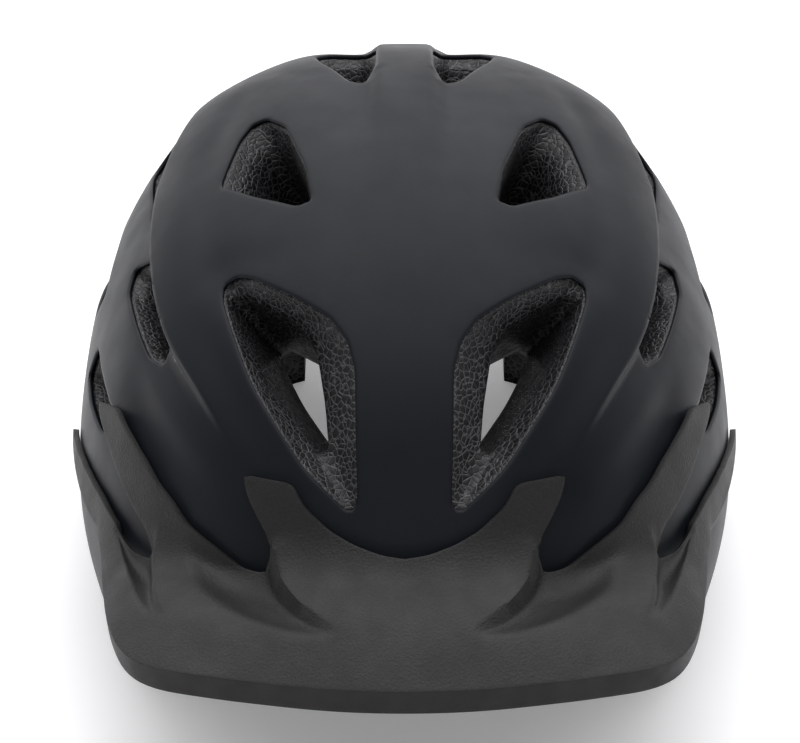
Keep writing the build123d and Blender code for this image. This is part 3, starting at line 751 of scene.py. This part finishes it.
def build_visor():
    """The visor as one shell: lip, brim with its wedges, and fingers that hug the helmet."""
    fingers = []
    for azimuth, height in FINGERS:
        (base_z,) = smooth_table(BASE_LINE, np.array([azimuth]))
        _, outer_z = smooth_table(OUTER_EDGE, np.array([azimuth]))
        rise = height - base_z[0]
        row = BRIM_ROWS + rise if rise >= 0 else BRIM_ROWS * (1 + rise / (base_z[0] - outer_z[0]))
        fingers.append((azimuth * TURN_SCALE, row))
    bottom = [(0, -LIP_ROWS), (40 * TURN_SCALE, -LIP_ROWS), (66 * TURN_SCALE, -LIP_ROWS), (71 * TURN_SCALE, -8)]
    right = softened(np.array(bottom + fingers), cut=0.14, passes=2, closed=False)
    left = right[1:-1][::-1] * [-1, 1]
    border = evenly(np.vstack([right, left]), 620)
    grid = hex_grid((-90 * TURN_SCALE, -9.5), (90 * TURN_SCALE, 90), VISOR_STEP)
    grid = grid[np.abs(grid[:, 1]) > 1.0]
    fold_x = np.arange(-74 * TURN_SCALE, 74 * TURN_SCALE, VISOR_STEP)
    folds = [np.stack([fold_x, np.full_like(fold_x, row)], 1) for row in (-0.7, 0.0, 0.9)]
    for line, _, _ in WEDGES:
        path = wedge_path(line)
        path = evenly(path, int(length(path, False) / 1.5), closed=False)
        normal = np.gradient(path, axis=0)
        normal = np.stack([-normal[:, 1], normal[:, 0]], 1) / np.linalg.norm(normal, axis=1, keepdims=True)
        for sign in (1, -1):
            gap, _, _ = distance_to(grid, path * [sign, 1], closed=False)
            grid = grid[gap > 2.2]
            folds += [(path + normal * out) * [sign, 1] for out in (-1.7, -0.5, 0.5, 1.7)]
    grid = np.vstack([grid] + folds)
    grid = grid[inside(grid, border)]
    gap, _, _ = distance_to(grid, border)
    grid = grid[gap > 1.0]
    inner = offset_loop(border, -0.7)
    inner = inner[inside(inner, border)]
    flat, faces, _ = triangulate([border], np.vstack([grid, inner]), [], border)
    points = visor_surface(flat)
    gap, _, _ = distance_to(flat, border)
    # Smooth the folds but leave the outline and the lip's edge alone
    free = (gap > 1e-3) & (flat[:, 1] > 2.5)
    for line, _, _ in WEDGES:
        gap, _, _ = distance_to(folded(flat), wedge_path(line), closed=False)
        free &= gap > 2.5
    points = relaxed(points, faces, free)
    visor = mesh_object("visor_shell", points, faces)
    # Faces of the lip, which later get a darker copy of the visor's material as painted shade
    on_lip = (flat[faces][:, :, 1].max(1) < 0.1) & (np.abs(flat[faces][:, :, 0]).max(1) < 48 * TURN_SCALE)
    visor["lip_faces"] = np.nonzero(on_lip)[0].tolist()
    thicken(visor, VISOR_THICK)
    bevel = visor.modifiers.new("edges", "BEVEL")
    bevel.width = 0.5 * MM
    bevel.segments = 2
    bevel.limit_method = "ANGLE"
    bevel.angle_limit = radians(60)
    return visor


# ---------------------------------------------------------------- materials


class Nodes:
    """A node tree built a step at a time. A value is a constant or another node's output."""

    def __init__(self, tree):
        self.tree = tree

    def feed(self, socket, value):
        if isinstance(value, bpy.types.NodeSocket):
            self.tree.links.new(value, socket)
        else:
            socket.default_value = (*value, 1) if isinstance(value, tuple) else value

    def add(self, kind, sockets=None, **settings):
        node = self.tree.nodes.new(kind)
        for key, value in settings.items():
            setattr(node, key, value)
        for key, value in (sockets or {}).items():
            self.feed(node.inputs[key], value)
        return node

    def ramp(self, source, *stops):
        """stops are (position, colour) with a colour of three numbers or one."""
        node = self.add("ShaderNodeValToRGB", {"Fac": source})
        while len(node.color_ramp.elements) < len(stops):
            node.color_ramp.elements.new(0.5)
        for element, (position, colour) in zip(node.color_ramp.elements, stops):
            element.position = position
            element.color = (*colour, 1) if isinstance(colour, tuple) else (colour, colour, colour, 1)
        return node.outputs["Color"]


class Paint(Nodes):
    """A material on object coordinates."""

    def __init__(self, name):
        self.material = bpy.data.materials.new(name)
        self.material.use_nodes = True
        super().__init__(self.material.node_tree)
        self.shader = self.tree.nodes["Principled BSDF"]
        self.where = self.add("ShaderNodeTexCoord").outputs["Object"]

    def noise(self, scale, detail=4.0, rough=0.55):
        sockets = {"Scale": scale, "Detail": detail, "Roughness": rough, "Vector": self.where}
        return self.add("ShaderNodeTexNoise", sockets).outputs["Fac"]

    def cells(self, scale, feature="F1", output="Distance"):
        sockets = {"Scale": scale, "Vector": self.where}
        return self.add("ShaderNodeTexVoronoi", sockets, feature=feature).outputs[output]

    def blotch(self, scale, detail, low, high):
        """Soft patches that run from one value to another."""
        return self.ramp(self.noise(scale, detail), (0.3, low), (0.7, high))

    def multiply(self, a, b):
        return self.add("ShaderNodeMath", {0: a, 1: b}, operation="MULTIPLY").outputs[0]

    def mix(self, factor, a, b):
        return self.add("ShaderNodeMix", {0: factor, 6: a, 7: b}, data_type="RGBA").outputs[2]

    def flecked(self, colour, tint, amount, source, low, high):
        """A share of a tint mixed in where the source rises from low to high."""
        flecks = self.ramp(source, (low, 0.0), (high, 1.0))
        return self.mix(self.multiply(flecks, amount), colour, tint)

    def bump(self, height, strength, distance, after=None):
        sockets = {"Strength": strength, "Distance": distance, "Height": height}
        if after is not None:
            sockets["Normal"] = after
        return self.add("ShaderNodeBump", sockets).outputs["Normal"]

    def finish(self, colour, rough, normal=None, **plain):
        self.feed(self.shader.inputs["Base Color"], colour)
        self.feed(self.shader.inputs["Roughness"], rough)
        if normal is not None:
            self.feed(self.shader.inputs["Normal"], normal)
        for key, value in plain.items():
            self.shader.inputs[key.replace("_", " ")].default_value = value
        return self.material


def shell_paint():
    p = Paint("shell_matte")
    colour = p.blotch(18, 3, (0.0050, 0.0063, 0.0092), (0.0072, 0.0088, 0.0120))
    colour = p.flecked(colour, (0.10, 0.105, 0.12), 0.06, p.noise(150, 8, 0.75), 0.66, 0.74)
    rough = p.blotch(60, 5, 0.40, 0.50)
    normal = p.bump(p.noise(2600, 2), 0.18, 0.0002)
    return p.finish(colour, rough, normal, Specular_IOR_Level=0.17)


def foam_paint():
    p = Paint("bead_foam")
    crack = p.cells(520, "DISTANCE_TO_EDGE")
    tint = p.cells(520, "F1", "Color")
    colour = p.ramp(
        crack, (0.0, (0.085, 0.086, 0.090)), (0.045, (0.030, 0.031, 0.033)), (0.12, (0.0035, 0.0035, 0.0040)),
    )
    shade = p.add("ShaderNodeSeparateColor", {0: tint}).outputs[0]
    colour = p.mix(p.multiply(shade, 0.25), colour, (0.014, 0.014, 0.016))
    rough = p.blotch(400, 3, 0.34, 0.55)
    dome = p.ramp(crack, (0.0, 0.0), (0.12, 0.75), (0.4, 1.0))
    normal = p.bump(dome, 0.55, 0.0004)
    normal = p.bump(p.noise(1500, 3), 0.15, 0.0002, normal)
    return p.finish(colour, rough, normal, Specular_IOR_Level=0.5)


def visor_paint():
    p = Paint("visor_texture")
    colour = p.blotch(24, 4, (0.0095, 0.0089, 0.0092), (0.0130, 0.0122, 0.0126))
    colour = p.flecked(colour, (0.045, 0.043, 0.044), 0.25, p.noise(1700, 2), 0.45, 0.75)
    rough = p.blotch(90, 4, 0.50, 0.62)
    normal = p.bump(p.cells(1500, "SMOOTH_F1"), 0.35, 0.00035)
    normal = p.bump(p.noise(3200, 3), 0.25, 0.0002, normal)
    return p.finish(colour, rough, normal, Specular_IOR_Level=0.34)


def film_paint():
    p = Paint("edge_film")
    colour = p.blotch(50, 4, (0.016, 0.016, 0.018), (0.026, 0.026, 0.029))
    rough = p.blotch(120, 4, 0.34, 0.46)
    normal = p.bump(p.noise(900, 3), 0.12, 0.0002)
    return p.finish(colour, rough, normal)


def hard_paint(name, dark, light, rough_low, rough_high, grain=1600, strength=0.2):
    p = Paint(name)
    colour = p.blotch(70, 5, dark, light)
    rough = p.blotch(160, 4, rough_low, rough_high)
    normal = p.bump(p.noise(grain, 3), strength, 0.0002)
    return p.finish(colour, rough, normal)


def dress(piece, material):
    piece.data.materials.clear()
    piece.data.materials.append(material)


SHELL_PAINT = shell_paint()
FOAM_PAINT = foam_paint()
VISOR_PAINT = visor_paint()
FILM_PAINT = film_paint()
# A darker copy of the visor's plastic for the lip: painted shade for the lip's face, which turns forwards and down,
# away from the overhead light
LIP_SHADE_PAINT = hard_paint("visor_lip_painted_shade", (0.0055, 0.0055, 0.0065), (0.0085, 0.0085, 0.0095), 0.50, 0.62, 1500, 0.2)
LIP_SHADE_PAINT.node_tree.nodes["Principled BSDF"].inputs["Specular IOR Level"].default_value = 0.25

def settle(piece, paint, body, node):
    """Dress a new piece, put it on a body (a blended piece has its own) and let it stand for a CAD node."""
    dress(piece, paint)
    if body:
        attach(piece, body)
    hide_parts(node)


settle(build_shell(), SHELL_PAINT, "helmet", "outer_shell")
settle(build_liner(), FOAM_PAINT, "helmet", "foam_liner")
settle(build_wrap(), FILM_PAINT, "helmet", "rim_wrap")
visor = build_visor()
settle(visor, VISOR_PAINT, "visor", "visor")
# The lip's faces take the darker copy: painted shade on the lip
visor.data.materials.append(LIP_SHADE_PAINT)
for index in visor["lip_faces"]:
    visor.data.polygons[index].material_index = 1

# ---------------------------------------------------------------- comfort pads

SIDE_PAD = ((1, 2), ((-34, 64), (30, 58), (44, 66), (40, 80), (-24, 86), (-38, 78)), (0, (-12, 12)))
PADS = {
    # name: (plane axes, outline, channels as (axis, distances))
    "brow_pad": ((0, 2), ((-52, 48), (52, 48), (56, 62), (20, 68), (-20, 68), (-56, 62)), (0, (-34, -12, 12, 34))),
    "crown_pad": (
        (0, 1),
        ((-14, -62), (14, -62), (14, -20), (34, -12), (34, 12), (14, 20), (14, 58), (-14, 58), (-14, 20), (-34, 12),
         (-34, -12), (-14, -20)),
        (1, (-40, -16, 16, 40)),
    ),
    "side_pad_left": SIDE_PAD,
    "side_pad_right": SIDE_PAD,
    "cradle_pad_left": ((0, 2), ((-20, 12), (-4, 12), (-4, 30), (-20, 30)), None),
    "cradle_pad_right": ((0, 2), ((4, 12), (20, 12), (20, 30), (4, 30)), None),
}
PAD_THICK = 7.0
CRADLE_PAD_THICK = 4.0
CRADLE_Y = 84.0
# The cloth runs for this many frames, and a point keeps at most this much of its move
CLOTH_FRAMES = 20
MOST_PUFF = 1.6


def pad_depth(points, cradle):
    """Distance of points from what the pad rests on, and the direction away from it."""
    if cradle:
        return CRADLE_Y - points[:, 1], np.tile([0.0, -1.0, 0.0], (len(points), 1))
    centre = np.array([0, 0, CAVITY_FORM[4]])
    rel = points - centre
    far = np.linalg.norm(rel, axis=1)
    surface = np.linalg.norm(on_dome(rel, CAVITY_FORM) - centre, axis=1)
    return surface - far, -rel / far[:, None]


def read_points(mesh):
    flat = np.empty(len(mesh.vertices) * 3)
    mesh.vertices.foreach_get("co", flat)
    return flat.reshape(-1, 3) / MM - np.array([0, SHIFT_Y, 0])


def write_points(mesh, points):
    mesh.vertices.foreach_set("co", place(points).ravel())
    mesh.update()


def final_mesh(piece):
    """The piece's mesh with its modifiers applied."""
    piece.update_tag()
    depsgraph = bpy.context.evaluated_depsgraph_get()
    mesh = bpy.data.meshes.new_from_object(piece.evaluated_get(depsgraph))
    piece.modifiers.clear()
    piece.data = mesh
    return mesh


def build_pad(name, axes, outline, channels):
    """A cushion blown up from a smaller copy of the CAD pad, with a pressed edge and pressed channels."""
    cradle = name.startswith("cradle")
    thick = CRADLE_PAD_THICK if cradle else PAD_THICK
    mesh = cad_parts[name].data.copy()
    pad = add_object(name + "_cushion", mesh)
    points = read_points(mesh)
    middle = points.mean(0)
    points = middle + (points - middle) * 0.975
    depth, away = pad_depth(points, cradle)
    points = points + away * (0.14 * thick + 0.66 * depth - depth)[:, None]
    write_points(mesh, points)
    remesh = pad.modifiers.new("even", "REMESH")
    remesh.mode = "VOXEL"
    remesh.voxel_size = (1.1 if cradle else 2.2) * MM
    mesh = final_mesh(pad)
    before = read_points(mesh)
    depth, _ = pad_depth(before, cradle)
    held = pad.vertex_groups.new(name="held")
    held.add([int(i) for i in np.nonzero(depth < 0.3 * thick)[0]], 1.0, "REPLACE")
    cloth = pad.modifiers.new("air", "CLOTH")
    cloth.settings.vertex_group_mass = "held"
    cloth.settings.use_pressure = True
    cloth.settings.uniform_pressure_force = 4
    cloth.settings.effector_weights.gravity = 0
    for number in range(1, CLOTH_FRAMES + 1):
        scene.frame_set(number)
    mesh = final_mesh(pad)
    move = read_points(mesh) - before
    size = np.linalg.norm(move, axis=1, keepdims=True)
    before = before + move * np.minimum(1, MOST_PUFF / np.maximum(size, 1e-6))
    scene.frame_set(1)
    depth, away = pad_depth(before, cradle)
    flat = before[:, list(axes)]
    gap, _, _ = distance_to(flat, evenly(softened(outline, cut=0.2, passes=3), 240))
    puff = 0.24 + 0.76 * ease(0.0, 4.0 if cradle else 6.5, gap - 0.6)
    if channels:
        axis, places = channels
        for spot in places:
            puff = puff * (1 - 0.42 * np.exp(-(((flat[:, axis] - spot) / 1.5) ** 2)))
    wanted = np.clip(depth * puff, 0.25, thick - 0.2)
    before = before + away * (wanted - depth)[:, None]
    write_points(mesh, before)
    mesh.polygons.foreach_set("use_smooth", [True] * len(mesh.polygons))
    rounder = pad.modifiers.new("rounder", "SUBSURF")
    rounder.levels = rounder.render_levels = 1
    return pad


# ---------------------------------------------------------------- webbing


def curve_through(values, count):
    """A smooth curve through rows of numbers, evenly stepped between them."""
    values = np.asarray(values, float)
    padded = np.vstack([2 * values[0] - values[1], values, 2 * values[-1] - values[-2]])
    rows = []
    for i in range(len(values) - 1):
        p0, p1, p2, p3 = padded[i : i + 4]
        for t in np.linspace(0, 1, count, endpoint=i == len(values) - 2):
            rows.append(
                0.5 * (2 * p1 + (p2 - p0) * t + (2 * p0 - 5 * p1 + 4 * p2 - p3) * t**2
                       + (3 * p1 - p0 - 3 * p2 + p3) * t**3)
            )
    return np.array(rows)


# Half a cross-section of webbing in shares of its half width and half thickness, fuller at the woven edges
HALF_SHAPE = (
    (-1.0, 0.0), (-0.985, -0.7), (-0.93, -1.0), (-0.85, -0.86), (0.0, -0.84), (0.85, -0.86), (0.93, -1.0),
    (0.985, -0.7),
)
WEBBING_SHAPE = HALF_SHAPE + tuple((-x, -y) for x, y in HALF_SHAPE)


def webbing(name, stations, side=1, width=18.0, thick=1.5, steps=10, shape=WEBBING_SHAPE):
    """A strap along stations of (point, width direction), with UVs in millimetres along and across."""
    spots = curve_through([p for p, _ in stations], steps)
    wide = curve_through([w for _, w in stations], steps)
    way = np.gradient(spots, axis=0)
    way = way / np.linalg.norm(way, axis=1, keepdims=True)
    wide = wide - (wide * way).sum(1, keepdims=True) * way
    wide = wide / np.linalg.norm(wide, axis=1, keepdims=True)
    up = np.cross(way, wide)
    travelled = np.r_[0, np.cumsum(np.linalg.norm(np.diff(spots, axis=0), axis=1))]
    shape = np.array(shape) * [width / 2, thick / 2]
    count = len(shape)
    points = spots[:, None] + shape[None, :, :1] * wide[:, None] + shape[None, :, 1:] * up[:, None]
    points = points.reshape(-1, 3) * [side, 1, 1]
    faces = tube_faces(len(spots), count, side < 0)
    last = (len(spots) - 1) * count
    ends = [list(range(count))[::-1], [last + i for i in range(count)]]
    faces += ends if side > 0 else [end[::-1] for end in ends]
    strap = mesh_object(name, points, faces)
    layer = strap.data.uv_layers.new(name="weave")
    for polygon in strap.data.polygons:
        for k in polygon.loop_indices:
            vertex = strap.data.loops[k].vertex_index
            row, i = divmod(vertex, count)
            layer.data[k].uv = (travelled[row] / 10, shape[i, 0] / 10)
    return strap


FRONT_ROUTE = (
    ((69.3, -47.1, 33), (0.15, 1, 0)), ((69.3, -47.1, 23), (0.15, 1, 0)), ((67, -45, 12), (0.15, 1, 0)),
    ((60, -37, 5), (0.5, 0.9, 0)), ((53, -22, 2.9), (0.8, 0.55, 0)), ((43, -6, 2.9), (0.8, 0.55, 0)),
)
REAR_ROUTE = (
    ((64.8, 60.5, 31), (-0.35, 1, 0)), ((64.8, 60.5, 21), (-0.35, 1, 0)), ((63, 59, 12), (-0.35, 1, 0)),
    ((58, 52, 5), (-0.6, 0.8, 0)), ((51, 44, 2.9), (-0.8, 0.6, 0)), ((43, 33, 2.9), (-0.8, 0.6, 0)),
)
# The chin strap turns on edge, runs forwards, goes through the buckle's loop and folds back on itself
CHIN_START = (
    ((30, -4, 2.9), (1, 0, 0)), ((30, -16, 6), (0.8, 0, 0.6)), ((30, -30, 11), (0, 0, 1)), ((30, -60, 11), (0, 0, 1)),
)


def on_edge(*points):
    """Stations where the strap stands on its edge."""
    return tuple((point, (0, 0, 1)) for point in points)


CHIN_RIGHT = CHIN_START + on_edge(
    (28.5, -76, 12), (24, -86.5, 12.5), (17, -91.0, 12.5), (12, -92.6, 12.5), (9.4, -93.8, 12.5),
    (8.9, -95.0, 12.5), (9.4, -96.3, 12.5), (12, -97.4, 12.5), (15.8, -95.2, 12.5), (20, -91.4, 12.5),
    (26.3, -88.0, 12.3),
)
CHIN_LEFT = CHIN_START + on_edge(
    (30.0, -76, 12), (28.6, -86.0, 12.5), (26.0, -91.0, 12.5), (23.4, -92.9, 12.5), (21.3, -93.9, 12.5),
    (20.9, -95.0, 12.5), (21.3, -96.3, 12.5), (24, -97.3, 12.5), (27.6, -94.6, 12.5), (30.2, -88.6, 12.5),
    (31.7, -82.0, 12.3),
)
BAND_ROUTE = on_edge((67.3, 35.6, 27.6), (65.4, 40.3, 27), (61, 51, 25), (54.8, 62.2, 23.2), (51.5, 66.8, 22.6))
# A thin moulded strip with three shallow ribs along it
BAND_SHAPE = (
    (-1.0, -0.6), (-0.9, -0.75), (-0.62, -0.75), (-0.55, -1.0), (-0.42, -1.0), (-0.35, -0.75), (-0.1, -0.75),
    (-0.06, -1.0), (0.06, -1.0), (0.1, -0.75), (0.35, -0.75), (0.42, -1.0), (0.55, -1.0), (0.62, -0.75), (0.9, -0.75),
    (1.0, -0.6), (1.0, 0.6), (0.9, 0.75), (-0.9, 0.75), (-1.0, 0.6),
)


def build_peg(name, side):
    """Turned peg inside the visor's wing, with a flange and a domed end."""
    profile = ((0.0, 89.0), (2.4, 89.0), (2.9, 89.6), (2.9, 95.6), (2.7, 96.3), (1.8, 96.9), (0.0, 97.1))
    points, turns = [], 32
    for radius, x in profile:
        for angle in np.arange(turns) / turns * tau:
            points.append((side * x, -32 + radius * cos(angle), 57 + radius * sin(angle)))
    peg = mesh_object(name, points, tube_faces(len(profile), turns, side < 0))
    merge = peg.modifiers.new("merge", "WELD")
    merge.merge_threshold = 0.01 * MM
    return peg


def web_paint():
    """Woven webbing: ribs across, fine picks along, read from the strap's own length and width."""
    p = Paint("woven_webbing")
    weave = p.add("ShaderNodeUVMap", uv_map="weave").outputs["UV"]

    def wave(direction, scale, distort):
        sockets = {"Scale": scale, "Distortion": distort, "Detail": 2, "Vector": weave}
        node = p.add(
            "ShaderNodeTexWave", sockets, wave_type="BANDS", bands_direction=direction, wave_profile="SIN"
        )
        return node.outputs["Fac"]

    cloth = p.multiply(wave("Y", 3.4, 0.3), wave("X", 4.6, 0.5))
    # The colour follows the weave's height, darker in its hollows and lighter on its ribs: painted shade and
    # highlight on the weave
    colour = p.ramp(cloth, (0.0, (0.0045, 0.0045, 0.005)), (1.0, (0.022, 0.022, 0.024)))
    colour = p.flecked(colour, (0.045, 0.045, 0.048), 0.25, p.noise(900, 4), 0.45, 0.8)
    rough = p.blotch(300, 3, 0.72, 0.9)
    normal = p.bump(cloth, 0.8, 0.0004)
    normal = p.bump(p.noise(2500, 3), 0.3, 0.0001, normal)
    return p.finish(colour, rough, normal, Specular_IOR_Level=0.3, Sheen_Weight=0.25)


def pad_paint():
    p = Paint("pad_fabric")
    colour = p.blotch(60, 4, (0.010, 0.010, 0.011), (0.018, 0.018, 0.020))
    colour = p.flecked(colour, (0.050, 0.050, 0.054), 0.3, p.noise(1800, 5, 0.7), 0.5, 0.75)
    rough = p.blotch(500, 3, 0.8, 0.95)
    normal = p.bump(p.cells(900), 0.6, 0.0004)
    normal = p.bump(p.noise(3000, 4), 0.35, 0.0002, normal)
    return p.finish(colour, rough, normal, Specular_IOR_Level=0.25, Sheen_Weight=0.4)


def rubber_paint():
    p = Paint("grip_rubber")
    colour = p.blotch(120, 5, (0.008, 0.008, 0.009), (0.016, 0.016, 0.017))
    colour = p.flecked(colour, (0.07, 0.07, 0.07), 0.15, p.noise(700, 6, 0.7), 0.6, 0.8)
    rough = p.blotch(300, 4, 0.7, 0.85)
    return p.finish(colour, rough, p.bump(p.cells(2200), 0.4, 0.0002), Specular_IOR_Level=0.35)


def steel_paint():
    p = Paint("plain_steel")
    colour = p.blotch(200, 5, (0.42, 0.42, 0.43), (0.55, 0.55, 0.56))
    rough = p.blotch(900, 4, 0.25, 0.42)
    return p.finish(colour, rough, p.bump(p.noise(2500, 3), 0.2, 0.0001), Metallic=1.0)


PAD_PAINT = pad_paint()
WEB_PAINT = web_paint()
RING_PAINT = hard_paint("ring_plastic", (0.014, 0.014, 0.016), (0.022, 0.022, 0.025), 0.38, 0.52, 1400, 0.22)
BUCKLE_PAINT = hard_paint("buckle_plastic", (0.008, 0.008, 0.009), (0.014, 0.014, 0.015), 0.30, 0.44, 1800, 0.18)
ANCHOR_PAINT = hard_paint("anchor_plastic", (0.012, 0.012, 0.013), (0.020, 0.020, 0.021), 0.42, 0.58, 1200, 0.25)
RUBBER_PAINT = rubber_paint()
STEEL_PAINT = steel_paint()

# CAD nodes that keep their shape: their material, the names of pairs, and the other names
CARRIED = (
    (RING_PAINT, ("arm", "rack"), ("cradle_frame", "gear_housing", "gear_cover", "pinion", "dial_knob")),
    (BUCKLE_PAINT, ("divider", "lever"), ("buckle_female", "buckle_male")),
    (ANCHOR_PAINT, ("anchor_front", "anchor_rear", "temple_anchor"), ()),
    (RUBBER_PAINT, (), ("dial_grip",)),
    (STEEL_PAINT, ("lever_pin",), ("dial_screw",)),
)
for paint, pairs, others in CARRIED:
    for name in [pair + side for pair in pairs for side in ("_left", "_right")] + list(others):
        dress(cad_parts[name], paint)

for name, (axes, outline, channels) in PADS.items():
    pad = build_pad(name, axes, outline, channels)
    settle(pad, PAD_PAINT, "cradle" if name.startswith("cradle") else "helmet", name)


for name, side in (("left", -1), ("right", 1)):
    for kind, route in (("strap_front", FRONT_ROUTE), ("strap_rear", REAR_ROUTE)):
        strap = webbing(kind + "_webbing_" + name, route, side)
        settle(strap, WEB_PAINT, "helmet", kind + "_" + name)
    chin = webbing("chin_webbing_" + name, CHIN_RIGHT if side > 0 else CHIN_LEFT, side, steps=8)
    settle(chin, WEB_PAINT, "helmet" if side < 0 else None, "chin_strap_" + name)
    if side > 0:
        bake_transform(chin)
    band = webbing("flex_band_" + name, BAND_ROUTE, side, width=12.6, thick=2.8, shape=BAND_SHAPE)
    settle(band, RING_PAINT, None, "band_" + name)
    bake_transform(band)
    settle(build_peg("visor_peg_" + name, side), BUCKLE_PAINT, "visor", "visor_pin_" + name)

# ---------------------------------------------------------------- floor, light and camera

FLOOR_HALF = 6.0


def build_floor():
    """A pale floor that glows a little, so that it reads as a white sweep."""
    mesh = bpy.data.meshes.new("floor")
    corners = [(x * FLOOR_HALF, y * FLOOR_HALF, 0) for x, y in ((-1, -1), (1, -1), (1, 1), (-1, 1))]
    mesh.from_pydata(corners, [], [(0, 1, 2, 3)])
    floor = add_object("floor", mesh)
    p = Paint("floor_pale")
    colour = p.blotch(3, 3, (0.93, 0.93, 0.93), (0.95, 0.95, 0.95))
    rough = p.blotch(40, 3, 0.5, 0.6)
    dress(floor, p.finish(colour, rough, Emission_Color=(1, 1, 1, 1), Emission_Strength=0.22))


def build_world():
    """Soft light from overhead and behind, dim from the front, as from a large overhead diffuser."""
    world = bpy.data.worlds.new("studio")
    world.use_nodes = True
    nodes = Nodes(world.node_tree)
    where = nodes.add("ShaderNodeTexCoord").outputs["Generated"]
    parts = nodes.add("ShaderNodeSeparateXYZ", {0: where}).outputs
    sockets = {0: parts["Y"], 1: 0.55, 2: parts["Z"]}
    tilt = nodes.add("ShaderNodeMath", sockets, operation="MULTIPLY_ADD").outputs[0]
    glow = nodes.ramp(tilt, (0.25, (0.10, 0.10, 0.102)), (1.0, (1.0, 1.0, 1.02)))
    glow.node.color_ramp.interpolation = "EASE"
    background = nodes.tree.nodes["Background"]
    nodes.feed(background.inputs["Color"], glow)
    nodes.feed(background.inputs["Strength"], 1.7)
    scene.world = world


def area_light(name, spot, target, size, power):
    lamp = bpy.data.lights.new(name, "AREA")
    lamp.shape = "RECTANGLE"
    lamp.size, lamp.size_y = size
    lamp.energy = power
    light = add_object(name, lamp)
    light.location = spot
    light.rotation_mode = "QUATERNION"
    light.rotation_quaternion = (Vector(target) - Vector(spot)).to_track_quat("-Z", "Y")


build_floor()
build_world()
area_light("top", (0, 0.5, 1.5), (0, 0, 0.1), (1.6, 1.2), 7)
area_light("front", (0, -1.6, 0.7), (0, 0, 0.08), (1.4, 0.8), 2)

# Camera 34 degrees above level, aimed a little above the line to the helmet's base
CAMERA_RANGE = 1300.0
ELEVATION = radians(34)
AIM_UP = radians(2.29)
LENS = 181.35
camera_data = bpy.data.cameras.new("camera")
camera_data.sensor_width = 36
camera_data.lens = LENS
camera_data.shift_x = -0.0056
camera_data.clip_start, camera_data.clip_end = 0.05, 20
camera = add_object("camera", camera_data)
camera.location = place([(0, -CAMERA_RANGE * cos(ELEVATION), CAMERA_RANGE * sin(ELEVATION))])[0]
camera.rotation_euler = (pi / 2 - ELEVATION + AIM_UP, 0, 0)
scene.camera = camera
scene.view_settings.view_transform = "Standard"
